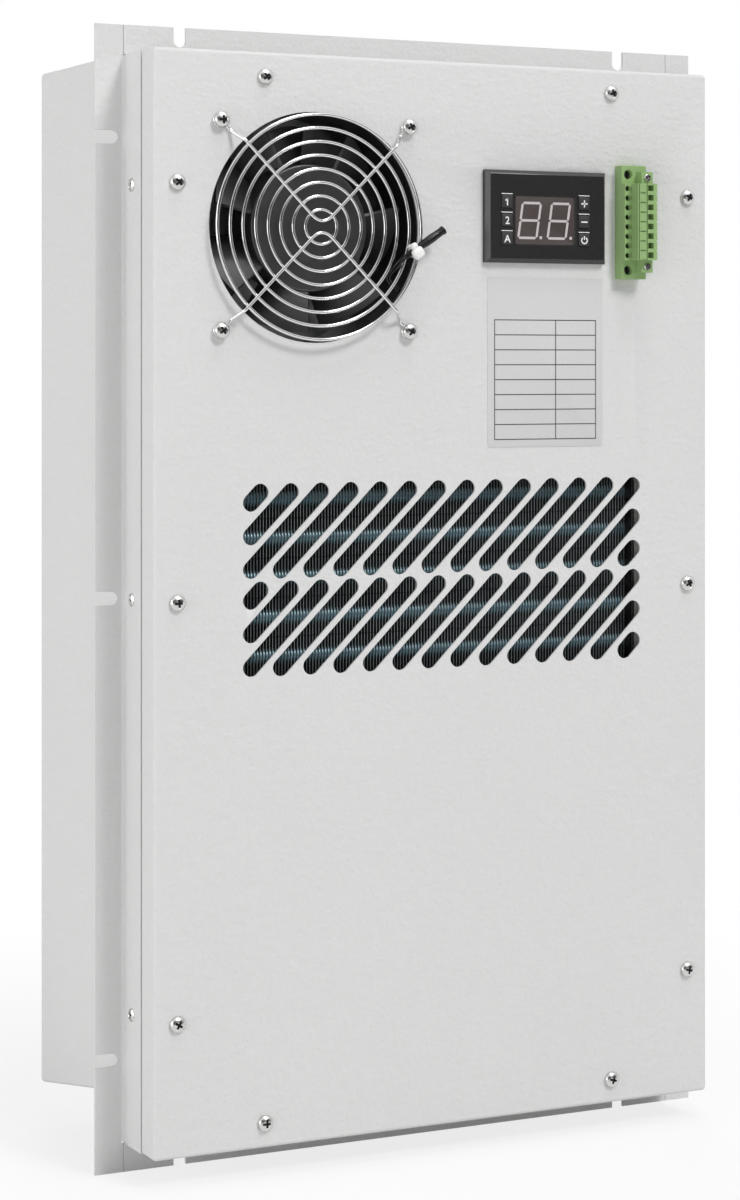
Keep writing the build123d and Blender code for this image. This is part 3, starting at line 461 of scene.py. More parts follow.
class Finish(Nodes):
    """A material: its principled shader and the nodes that feed it."""

    def __init__(self, name, **sockets):
        self.material = bpy.data.materials.new(name)
        super().__init__(self.material, "ShaderNodeOutputMaterial")
        self.surface = self.add("ShaderNodeBsdfPrincipled")
        self.show(self.surface)
        self.set(**sockets)

    def set(self, **sockets):
        """Fills the shader's sockets, named with underscores for spaces."""
        for key, value in sockets.items():
            if isinstance(value, tuple):
                value = (*value, 1.0)
            self.fill(self.surface.socket.node, {key.replace("_", " "): value})

    def place(self):
        """Where a point is on the object."""
        return self.add("ShaderNodeTexCoord", output="Object")

    def axes(self):
        """The point's three coordinates."""
        split = self.add("ShaderNodeSeparateXYZ", None, {0: self.place()}).socket.node
        return [Field(self, socket) for socket in split.outputs]

    def noise(self, scale, detail=2.0, stretch=(1, 1, 1)):
        """Cloudy noise with a given number of features in a metre."""
        place = self.add("ShaderNodeMapping", None, {"Vector": self.place(), "Scale": stretch})
        return self.add("ShaderNodeTexNoise", None, {"Vector": place, "Scale": scale, "Detail": detail})

    def step(self, inputs):
        """A smooth step between the ends of a range."""
        return self.add("ShaderNodeMapRange", {"interpolation_type": "SMOOTHSTEP"}, inputs)

    def tint(self, factor, first, second):
        """A colour between two colours."""
        first, second = [shade if isinstance(shade, Field) else (*shade, 1.0) for shade in (first, second)]
        return self.add("ShaderNodeMix", {"data_type": "RGBA"}, {0: factor, 6: first, 7: second}, 2)

    def mottle(self, factor, base, spread):
        """A colour that is darker and lighter by a given spread."""
        darker = tuple(part * (1 - spread) for part in base)
        lighter = tuple(min(part * (1 + spread), 1.0) for part in base)
        return self.tint(factor, darker, lighter)

    def relief(self, height, distance, strength):
        """Gives the surface a fine relief."""
        inputs = {"Strength": strength, "Distance": distance, "Height": height}
        self.set(Normal=self.add("ShaderNodeBump", None, inputs))


def powder_coat(name, base, covered=None, bare_edge_and_painted_shade=None):
    """Powder coat on sheet metal, a fine grain over a slack wave, with painted shade in front of a covered
    level.
    """
    finish = Finish(name, Specular_IOR_Level=0.35)
    grain = finish.noise(520, 3)
    wave = finish.noise(210, 1, stretch=(0.7, 0.7, 1.25))
    drift = finish.noise(9, 2)
    shade = finish.mottle(0.5 * grain + 0.2 * wave + 0.3 * drift, base, spread=0.06)
    # Painted shade: in front of the covered level the coat turns near-black, for the dark gap round the cover
    if bare_edge_and_painted_shade is not None:
        shade = finish.tint(finish.axes()[1] < covered, shade, bare_edge_and_painted_shade)
    finish.set(Base_Color=shade, Roughness=0.42 + 0.2 * grain)
    finish.relief(0.5 * grain + 0.5 * wave, distance=1.1 * MM, strength=0.6)
    return finish.material


def sheet_zinc(name, base, metal=1.0):
    """Galvanised sheet with its cloudy spangle."""
    finish = Finish(name, Metallic=metal)
    spangle = finish.noise(140)
    finish.set(Base_Color=finish.mottle(spangle, base, spread=0.25), Roughness=0.34 + 0.22 * spangle)
    finish.relief(spangle, distance=0.1 * MM, strength=0.2)
    return finish.material


def coated_fins(name, colours, sizes, edge_y):
    """Fin stock with a dark coating and bare cut edges, crossed by its folds."""
    finish = Finish(name, Metallic=0.25)
    _, y, z = finish.axes()
    ripple = finish.noise(260, stretch=(1, 1, 0.35))
    fold = z.wave(sizes.fold) < sizes.fold_width
    bare_edge_and_painted_shade = (abs(y - edge_y) < sizes.edge) * (1 - 0.7 * fold) * (0.6 + 0.6 * ripple)
    coating = finish.mottle(ripple, colours.fins, spread=0.35)
    finish.set(Base_Color=finish.tint(bare_edge_and_painted_shade, coating, colours.fin_edge), Roughness=0.36 + 0.2 * ripple)
    return finish.material


def collar_metal(name, colours, sizes, bottom, ends):
    """The coated collars that hide the tubes, with a painted highlight along the top of each, darker below
    it, and painted shade on the tubes past the fins.
    """
    finish = Finish(name, Metallic=0.3)
    x, _, z = finish.axes()
    stain = finish.noise(220)
    level = (z - bottom).remainder(sizes.tube_pitch)
    # Painted highlight: a paler band along the top of each tube, one per tube pitch
    painted_top_highlight = finish.step({"Value": level, "From Min": 0.4 * sizes.tube, "From Max": 0.9 * sizes.tube})
    shade = finish.tint(painted_top_highlight, colours.tubes, colours.painted_top_highlight)
    # Painted shade: past the last fins the tubes take the fins' dark colour
    past = (x < ends[0]).either(x > ends[1])
    finish.set(Base_Color=finish.tint(past, shade, colours.fins), Roughness=0.24 + 0.16 * stain)
    return finish.material


def moulded(name, base, roughness, grain=900, depth=0.08 * MM, shine=0.45):
    """Moulded plastic with a spark-eroded grain."""
    finish = Finish(name, Specular_IOR_Level=shine)
    pits = finish.noise(grain)
    flow = finish.noise(28, 1)
    finish.set(Base_Color=finish.mottle(0.5 * pits + 0.5 * flow, base, spread=0.12),
               Roughness=roughness - 0.07 + 0.14 * pits)
    finish.relief(pits, distance=depth, strength=0.4)
    return finish.material


def plated(name, base, roughness):
    """Bright plating with faint draw marks."""
    finish = Finish(name, Metallic=1.0)
    marks = finish.noise(700)
    finish.set(Base_Color=finish.mottle(marks, base, spread=0.05), Roughness=roughness + 0.06 * marks)
    return finish.material


def printed(name, base):
    """Matt ink, slightly uneven."""
    finish = Finish(name, Roughness=0.45)
    finish.set(Base_Color=finish.mottle(finish.noise(700), base, spread=0.08))
    return finish.material


def smoked(name, base):
    """The smooth tinted plastic of a display window."""
    finish = Finish(name, Specular_IOR_Level=0.35)
    cloud = finish.noise(60)
    finish.set(Base_Color=finish.mottle(cloud, base, spread=0.10), Roughness=0.2 + 0.06 * cloud)
    return finish.material


def sticker(name, colours, sizes, low, high):
    """A satin sticker with a ruled table and nothing printed in it."""
    finish = Finish(name, Specular_IOR_Level=0.4)
    x, _, z = finish.axes()
    left, right = low.x + sizes.margin, high.x - sizes.margin
    bottom, top = low.z + sizes.foot, high.z - sizes.top
    split = left + sizes.column * (right - left)
    line = sizes.line
    inside_x = (x > left - line) * (x < right + line)
    inside_z = (z > bottom - line) * (z < top + line)
    across = ((z - bottom).wave((top - bottom) / sizes.rows / 2) < line) * inside_x * inside_z
    upright = (abs(x - left) < line).either(abs(x - right) < line).either(abs(x - split) < line)
    rules = across.either(upright * inside_x * inside_z)
    fibre = finish.noise(500)
    paper = finish.mottle(fibre, colours.label, spread=0.035)
    finish.set(Base_Color=finish.tint(rules * 0.95, paper, colours.rule), Roughness=0.38 + 0.1 * fibre)
    finish.relief(fibre, distance=0.05 * MM, strength=0.25)
    return finish.material


# Places

def moved(x, y, z):
    """A shift."""
    return Matrix.Translation((x, y, z))


def spun(turn, axis="Z"):
    """A turn about an axis."""
    return Matrix.Rotation(turn, 4, axis)


def facing(x, y, z, turn=0.0):
    """A frame at a point: X right, Y up and Z outwards, on a face that looks forwards before its turn."""
    return moved(x, y, z) @ spun(turn) @ spun(pi / 2, "X")


def fan_place():
    """The fan's frame: X right, Y up and Z towards the viewer, from its centre on the cover."""
    return facing(FAN_X, COVER_FACE, FAN_Z)


# Mesh tools

def as_mesh(form, name="form"):
    """Closes a bmesh: doubles merged and normals outwards."""
    bmesh.ops.remove_doubles(form, verts=form.verts, dist=1e-7)
    bmesh.ops.recalc_face_normals(form, faces=form.faces)
    mesh = bpy.data.meshes.new(name)
    form.to_mesh(mesh)
    form.free()
    return mesh


def gathered(parts):
    """One mesh from pairs of a mesh and its place."""
    whole = bmesh.new()
    for mesh, place in parts:
        copy = mesh.copy()
        copy.transform(place)
        whole.from_mesh(copy)
        bpy.data.meshes.remove(copy)
    mesh = bpy.data.meshes.new("gathered")
    whole.to_mesh(mesh)
    whole.free()
    return mesh


def repeated(mesh, places):
    """One mesh from copies of a mesh at several places."""
    return gathered([(mesh, place) for place in places])


def here(meshes):
    """One mesh from meshes that are in place already."""
    return gathered([(mesh, Matrix.Identity(4)) for mesh in meshes])


def cube(middle, span):
    """A bmesh of a block by its middle and its three sides."""
    form = bmesh.new()
    bmesh.ops.create_cube(form, size=1, matrix=Matrix.LocRotScale(middle, None, span))
    return form


def bevel(form, edges, radius, segments, clamp=False):
    """Rounds edges of a bmesh."""
    bmesh.ops.bevel(form, geom=edges, offset=radius, segments=segments, profile=0.5, affect="EDGES",
                    material=-1, clamp_overlap=clamp)


def block(low, high, radius=0.0, segments=2):
    """A block between two corners with its edges rounded."""
    low, high = Vector(low), Vector(high)
    form = cube((low + high) / 2, high - low)
    if radius:
        bevel(form, form.edges[:], radius, segments, clamp=True)
    return as_mesh(form)


def slab(width, height, thickness, corner, edge=0.0):
    """A plate in X and Y from Z 0 upwards, with round corners and a softened front edge."""
    form = cube((0, 0, thickness / 2), (width, height, thickness))
    uprights = [side for side in form.edges if abs(side.verts[0].co.z - side.verts[1].co.z) > thickness / 2]
    bevel(form, uprights, corner, 4)
    if edge:
        rim = [side for side in form.edges if all(point.co.z > thickness - 1e-7 for point in side.verts)]
        bevel(form, rim, edge, 2)
    return as_mesh(form)


def spin(form, points, edges, turn, steps, merge=False):
    """Sweeps points and edges of a bmesh round Z."""
    bmesh.ops.spin(form, geom=points + edges, cent=(0, 0, 0), axis=(0, 0, 1), angle=turn, steps=steps,
                   use_merge=merge)


def turned(profile, steps=32):
    """A form spun round Z from pairs of radius and height."""
    form = bmesh.new()
    points = [form.verts.new((radius, 0, height)) for radius, height in profile]
    edges = [form.edges.new(pair) for pair in zip(points, points[1:])]
    spin(form, points, edges, 2 * pi, steps, merge=True)
    return as_mesh(form)


def disc(radius, low, high, steps):
    """A disc about Z between two heights."""
    return turned([(0, low), (radius, low), (radius, high), (0, high)], steps)


def wire_ring(radius, wire, steps=112, sides=16):
    """A ring of round wire about Z."""
    form = bmesh.new()
    place = moved(radius, 0, 0) @ spun(pi / 2, "X")
    section = bmesh.ops.create_circle(form, segments=sides, radius=wire / 2, matrix=place)["verts"]
    edges = list({edge for point in section for edge in point.link_edges})
    spin(form, section, edges, 2 * pi, steps, merge=True)
    return as_mesh(form)


def spline(points, thickness):
    """A round curve of one smooth open spline with the points as its control points."""
    curve = bpy.data.curves.new("spline", "CURVE")
    curve.dimensions = "3D"
    run = curve.splines.new("NURBS")
    run.points.add(len(points) - 1)
    for point, place in zip(run.points, points):
        point.co = (*place, 1.0)
    run.order_u = 3
    run.use_endpoint_u = True
    run.resolution_u = 12
    curve.bevel_depth = thickness / 2
    curve.bevel_resolution = 4
    curve.use_fill_caps = True
    return curve


def held(name, data):
    """An object with some data, in the scene."""
    obj = bpy.data.objects.new(name, data)
    bpy.context.scene.collection.objects.link(obj)
    return obj


def result(obj):
    """The mesh that an object's curve, text or modifiers give."""
    bpy.context.view_layer.update()
    return bpy.data.meshes.new_from_object(obj.evaluated_get(bpy.context.evaluated_depsgraph_get()))


def evaluated(data):
    """The mesh that a curve or text gives."""
    holder = held("holder", data)
    mesh = result(holder)
    bpy.data.objects.remove(holder)
    return mesh


def bent_wire(corners, reaches, wire):
    """Round wire along straight runs, bent over a reach at each inner corner."""
    points = [corners[0]]
    for before, corner, after, reach in zip(corners, corners[1:], corners[2:], reaches):
        points += [corner + (before - corner).normalized() * reach, corner,
                   corner + (after - corner).normalized() * reach]
    points.append(corners[-1])
    return evaluated(spline(points, wire))


def cut_away(stock, tools):
    """A mesh with the space of other meshes taken out of it."""
    holder, cutter = held("stock", stock), held("cutter", tools)
    boolean = holder.modifiers.new("cut", "BOOLEAN")
    boolean.operation = "DIFFERENCE"
    boolean.solver = "EXACT"
    boolean.object = cutter
    form = bmesh.new()
    form.from_mesh(result(holder))
    for obj in (holder, cutter):
        bpy.data.objects.remove(obj)
    bmesh.ops.dissolve_degenerate(form, edges=form.edges, dist=1e-6)
    return as_mesh(form)


def softened(node, offset, sharpest=40.0):
    """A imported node's mesh with its sharp edges slightly broken."""
    form = bmesh.new()
    form.from_mesh(NODES[node].data)
    bmesh.ops.remove_doubles(form, verts=form.verts, dist=1e-6)
    bmesh.ops.dissolve_limit(form, angle_limit=radians(1), verts=form.verts, edges=form.edges)
    sharp = [edge for edge in form.edges if len(edge.link_faces) == 2
             and edge.calc_face_angle(0) > radians(sharpest)]
    bevel(form, sharp, offset, 1, clamp=True)
    return as_mesh(form)


def lettering(text, height, thickness, weight):
    """Raised lettering of a given weight, centred on the origin in X and Y."""
    words = bpy.data.curves.new("mark", "FONT")
    words.body = text
    words.align_x = "CENTER"
    words.align_y = "CENTER"
    words.size = height
    words.offset = weight
    words.extrude = thickness
    mesh = evaluated(words)
    corners = [point.co for point in mesh.vertices]
    middle = [(min(corner[axis] for corner in corners) + max(corner[axis] for corner in corners)) / 2
              for axis in range(3)]
    mesh.transform(Matrix.Translation(-Vector(middle)))
    return mesh


def raise_faces(form, faces, rise):
    """Gives flat faces of a bmesh a thickness."""
    raised = bmesh.ops.extrude_face_region(form, geom=faces)["geom"]
    bmesh.ops.translate(form, vec=(0, 0, rise),
                        verts=[part for part in raised if isinstance(part, bmesh.types.BMVert)])


def piece(name, data, material, body=HOUSING, stands_for=(), crease=32.0):
    """A finished piece on its body and the nodes that it stands for."""
    data.name = name
    data.materials.clear()
    data.materials.append(material)
    if isinstance(data, bpy.types.Mesh):
        data.shade_smooth()
        data.set_sharp_from_angle(angle=radians(crease))
    obj = held(name, data)
    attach(obj, body)
    if stands_for:
        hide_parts(*stands_for)
    return obj


def coat_nodes(material, *names):
    """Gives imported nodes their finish."""
    for name in names:
        for holder in NODES[name].material_slots:
            holder.material = material


# Screws

def screw_head(outline, diameter, rise, steps=32):
    """A head about Z from its outline in shares of radius and height."""
    return turned([(across * diameter / 2, up * rise) for across, up in outline], steps)


def wedge(sizes, depth, top, turn):
    """A cutter for one arm of a cross recess, tapering downwards from a given height."""
    spare = 0.1 * MM
    middle = top - depth / 2
    form = cube((0, 0, middle + spare), (sizes.recess, sizes.recess_width, depth + 2 * spare))
    for point in form.verts:
        if point.co.z < middle:
            point.co.x *= sizes.taper
            point.co.y *= sizes.taper
    bmesh.ops.rotate(form, verts=form.verts, cent=(0, 0, 0), matrix=Matrix.Rotation(turn, 3, "Z"))
    return as_mesh(form)


def crossed(sizes, head, top, depth, floor):
    """A head with its cross recess, cut one arm after the other, and the dark disc of painted shade at its
    bottom.
    """
    for turn in (0, pi / 2):
        head = cut_away(head, wedge(sizes, depth, top, turn))
    return head, disc(sizes.floor_radius * sizes.recess, floor - sizes.floor_sheet, floor, 16)


def pan_screw(sizes):
    """A pan head with a cross recess, standing on Z 0, and the painted shade disc on the recess's floor."""
    head = screw_head(PAN_HEAD, sizes.head, sizes.rise, 36)
    return crossed(sizes, head, sizes.rise, sizes.recess_depth, sizes.floor * sizes.rise)


def low_screw(sizes):
    """A low oval head with a cross recess, standing on Z 0, and the painted shade disc on the recess's floor.
    """
    head, rise = screw_head(LOW_HEAD, sizes.low_head, sizes.low_rise), sizes.low_rise
    return crossed(sizes, head, rise, sizes.low_recess * rise, sizes.low_floor * rise)


def sunk_screw(sizes):
    """A head sunk flush into the back panel, its face on Z 0, with a cross recess and the painted shade disc
    on that recess's floor.
    """
    head = screw_head(SUNK_HEAD, sizes.low_head, sizes.sunk)
    return crossed(sizes, head, 0, sizes.sunk_recess * sizes.sunk, sizes.sunk_floor * sizes.sunk)


def slotted_screw(diameter, rise):
    """A cheese head with a slot, standing on Z 0."""
    half_width, bottom = 0.11 * diameter, 0.45 * rise
    slot = block((-diameter, -half_width, bottom), (diameter, half_width, 2 * rise))
    return cut_away(screw_head(CHEESE_HEAD, diameter, rise, 28), slot)


def screw_plating(colours):
    """The finish of all bright screws, made once."""
    return bpy.data.materials.get("plated_screws") or plated("plated_screws", colours.screws, 0.24)


def screw_set(name, screw, places, colours):
    """Screws of one kind at their places, with dark discs of painted shade on the floors of their recesses.
    """
    steel = screw_plating(colours)
    shade = bpy.data.materials.get("recess_shade") or moulded("recess_shade", colours.recess, 0.6, shine=0.1)
    head, floor = screw
    piece(name, repeated(head, places), steel)
    piece(f"{name}_recesses", repeated(floor, places), shade)


def screw_places(sizes, face, spread=1.0, turn=0.0):
    """Places of the ten screws that hold the cover or the back panel."""
    spots = [(side * sizes.across, end * sizes.along) for side in (-1, 1) for end in (-1, 1)]
    spots += [(side * sizes.side, height * sizes.side_along) for side in (-1, 1) for height in (-1, 0, 1)]
    return [facing(spread * x, face, spread * z, turn) @ spun(count * sizes.turn)
            for count, (x, z) in enumerate(spots)]


def back_places(sizes):
    """Places of the sunk screws in the back panel."""
    return screw_places(sizes, BACK_FACE, sizes.back_spread, pi)


# Steps

class COOLER_OT_case(Operator):
    """Powder coat on the case, cover and mounting angles, and zinc on the plates inside"""
    bl_idname = "cooler.case"
    bl_label = "Case finish"

    def execute(self, context):
        settings = context.scene.cooler
        colours, edges = settings.colours, settings.edges
        coat = powder_coat("light_grey_coat", colours.coat)
        panel = cut_away(softened("back_panel", edges.panel), self.sinkings(settings.screws))
        piece("coated_back_panel", panel, coat, stands_for=["back_panel"], crease=8.0)
        sheets = {"front_cover": edges.cover}
        sheets.update({f"{side}_mounting_angle": edges.angles for side in SIDES})
        for node, edge in sheets.items():
            piece(f"coated_{node}", softened(node, edge), coat, stands_for=[node])
        collar_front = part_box("left_mounting_angle")[0].y
        # The walls are painted dark in front of the collar, as the shade in the gap round the cover
        walls = powder_coat("case_coat", colours.coat, collar_front, colours.bare_edge_and_painted_shade)
        coat_nodes(walls, "left_side_panel", "right_side_panel", "top_panel", "bottom_panel")
        plates = [f"{coil}_{side}_end_plate" for coil in COILS for side in SIDES[:2]]
        coat_nodes(sheet_zinc("zinc_sheet", colours.zinc), "air_divider", *plates)
        return {"FINISHED"}

    def sinkings(self, sizes):
        """Cutters for the sunk screw heads of the back panel."""
        hole = disc(sizes.low_head / 2, -sizes.sinking * sizes.sunk, CLEAR, 32)
        return repeated(hole, back_places(sizes))


class COOLER_OT_screws(Operator):
    """Screws of the cover, the back panel and the collar"""
    bl_idname = "cooler.screws"
    bl_label = "Case screws"

    def execute(self, context):
        settings = context.scene.cooler
        sizes, colours = settings.screws, settings.colours
        screw_set("cover_screws", pan_screw(sizes), screw_places(sizes, COVER_FACE), colours)
        screw_set("back_panel_screws", sunk_screw(sizes), back_places(sizes), colours)
        screw_set("collar_screws", low_screw(sizes), self.collar(sizes), colours)
        return {"FINISHED"}

    def collar(self, sizes):
        """Places of the low screws on the collar's four walls."""
        depth = -sizes.collar_depth
        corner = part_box("front_cover")[1]
        places = []
        for side in (-1, 1):
            for count in (-1, 0, 1):
                place = facing(side * corner.x, depth, count * sizes.side_along, side * pi / 2)
                places.append(place @ spun(sizes.collar_start + count * sizes.collar_turn))
            for x in (-sizes.across, sizes.across):
                places.append(moved(x, depth, side * corner.z) @ spun(0 if side > 0 else pi, "X"))
        return places


class COOLER_OT_coils(Operator):
    """Close-set fins and collared tubes of the two coils"""
    bl_idname = "cooler.coils"
    bl_label = "Coils"

    def execute(self, context):
        settings = context.scene.cooler
        sizes, colours = settings.coils, settings.colours
        for coil in COILS:
            low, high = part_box(f"{coil}_fins")
            front, back = low.y + sizes.trim, high.y - sizes.trim
            fin = block((-sizes.sheet / 2, front, low.z), (sizes.sheet / 2, back, high.z))
            count = int((high.x - low.x) / sizes.pitch)
            start = (low.x + high.x) / 2 - (count - 1) / 2 * sizes.pitch
            fins = repeated(fin, [moved(start + index * sizes.pitch, 0, 0) for index in range(count)])
            seen_edge = front if coil == "evaporator" else back
            stock = coated_fins(f"{coil}_fin_stock", colours, sizes, seen_edge)
            piece(f"{coil}_fin_pack", fins, stock, stands_for=[f"{coil}_fins"])
            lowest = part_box(f"{coil}_tubes")[0].z
            # The collars carry a painted highlight along their tops and painted shade past the fins
            collars = collar_metal(f"{coil}_collars", colours, sizes, lowest, (low.x, high.x))
            coat_nodes(collars, f"{coil}_tubes")
        dull = sheet_zinc("dull_plate", colours.plate, metal=0.2)
        piece("evaporator_plate_lip", self.lip(sizes), dull)
        return {"FINISHED"}

    def lip(self, sizes):
        """The lip folded outwards from the front edge of the front coil's right end plate."""
        low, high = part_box("evaporator_right_end_plate")
        middle, span = (low + high) / 2, high - low
        middle_y = low.y + sizes.lip / 2
        form = cube((middle.x, middle_y, middle.z), (span.x, sizes.lip, span.z))
        fold = [edge for edge in form.edges
                if all(end.co.x < middle.x and end.co.y < middle_y for end in edge.verts)]
        bevel(form, fold, sizes.lip_bend, 6)
        return as_mesh(form)


class COOLER_OT_fan(Operator):
    """Finish of the fan's frame and impeller"""
    bl_idname = "cooler.fan"
    bl_label = "Fan"

    def execute(self, context):
        colours = context.scene.cooler.colours
        coat_nodes(moulded("fan_frame_plastic", colours.fan, 0.42), "fan_housing")
        coat_nodes(moulded("impeller_plastic", colours.hub, 0.36, shine=0.9), "fan_impeller")
        return {"FINISHED"}


class COOLER_OT_guard(Operator):
    """Round wires of the fan guard and their screws"""
    bl_idname = "cooler.guard"
    bl_label = "Fan guard"

    def execute(self, context):
        settings = context.scene.cooler
        sizes, colours = settings.guard, settings.colours
        fan = fan_place()
        half, seat = sizes.screws / 2, sizes.wire / 2
        wires = []
        for index in range(sizes.rings):
            ring = wire_ring(sizes.outer - index * sizes.pitch, sizes.wire)
            wires.append((ring, fan @ moved(0, 0, sizes.standoff)))
        arm = self.arm(sizes)
        wires += [(arm, fan @ spun(turn)) for turn in (0, pi)]
        eye = wire_ring(sizes.eye, sizes.wire, 32, 12)
        screws = []
        for count, (side, end) in enumerate(((-1, -1), (-1, 1), (1, -1), (1, 1))):
            place = fan @ moved(side * half, end * half, seat)
            wires.append((eye, place))
            screws.append(place @ moved(0, 0, seat) @ spun(sizes.start + count * sizes.turn))
        chrome = plated("bright_wire", colours.chrome, 0.08)
        piece("guard_wires", gathered(wires), chrome, stands_for=["fan_guard"], crease=60.0)
        screw_set("guard_screws", pan_screw(settings.screws), screws, colours)
        return {"FINISHED"}

    def arm(self, sizes):
        """A wire bent to a V across the rings, stepped down to the cover at both ends."""
        seat = sizes.wire / 2
        rim = (sizes.outer + sizes.rim) * cos(pi / 4)
        foot = rim + sizes.step * cos(pi / 4)
        tip = sizes.screws / 2 - sizes.eye * cos(pi / 4)
        left = [(-tip, tip, seat), (-foot, foot, seat), (-rim, rim, sizes.arm_level)]
        right = [(-x, y, z) for x, y, z in reversed(left)]
        corners = [Vector(point) for point in left + [(0, 0, sizes.arm_level)] + right]
        return bent_wire(corners, (sizes.bend, sizes.bend, sizes.apex, sizes.bend, sizes.bend), sizes.wire)


class COOLER_OT_probe(Operator):
    """Air probe, its nylon tie and its lead"""
    bl_idname = "cooler.probe"
    bl_label = "Air probe"

    def execute(self, context):
        settings = context.scene.cooler
        sizes, colours = settings.probe, settings.colours
        black = moulded("sleeve_plastic", colours.sleeve, 0.22, grain=420, depth=0.1 * MM, shine=0.3)
        nylon = moulded("tie_nylon", colours.tie, 0.36, grain=300, depth=0.2 * MM)
        tip = fan_place() @ moved(sizes.tip_x, sizes.tip_z, sizes.level)
        along = tip @ spun(sizes.slant) @ spun(pi / 2, "Y")
        sleeve = self.sleeve(sizes)
        sleeve.transform(along)
        piece("probe_shrink_sleeve", sleeve, black, stands_for=["probe_sleeve"])
        tie = self.tie(sizes)
        tie.transform(along @ moved(0, 0, -sizes.tie))
        piece("probe_nylon_tie", tie, nylon, stands_for=["probe_tie"], crease=50.0)
        for side, name in ((-1, "probe_lower_strand"), (1, "probe_upper_strand")):
            self.strand(name, side, sizes, black)
        return {"FINISHED"}

    def sleeve(self, sizes):
        """A shrink sleeve from its open tip at Z 0 back along Z, waisted behind the sensor inside it."""
        profile = [(across * sizes.radius, start + along * MM)
                   for outline, start in ((SLEEVE_REAR, -sizes.sleeve), (SLEEVE_TIP, 0))
                   for across, along in outline]
        return turned(profile, 28)

    def tie(self, sizes):
        """A band round the probe and the wires behind it, its head in front and its cut end beside it."""
        half, inner, outer = sizes.band / 2, sizes.band_inner, sizes.band_outer
        band = turned([(inner, -half), (outer, -half), (outer, half), (inner, half), (inner, -half)], 32)
        band.transform(moved(sizes.band_shift, 0, 0) @ Matrix.Diagonal((1.0, sizes.band_squeeze, 1.0, 1.0)))
        blocks = [block(Vector(low) * MM, Vector(high) * MM, radius * MM, segments)
                  for low, high, radius, segments in TIE_BLOCKS]
        return here([band, *blocks])

    def strand(self, name, side, sizes, black):
        """One strand of the lead, from the sleeve through the guard into the groove of the fan's flange."""
        route = [Vector(point) for point in LEAD_ROUTE]
        points = []
        for index, (point, spread) in enumerate(zip(route, LEAD_SPREAD)):
            run = route[min(index + 1, len(route) - 1)] - route[max(index - 1, 0)]
            beside = Vector((-run.y, run.x, 0)).normalized()
            points.append(fan_place() @ ((point + side * spread * beside) * MM))
        stands_for = ["probe_lead"] if side < 0 else []
        obj = piece(name, spline(points, sizes.strand), black, stands_for=stands_for)


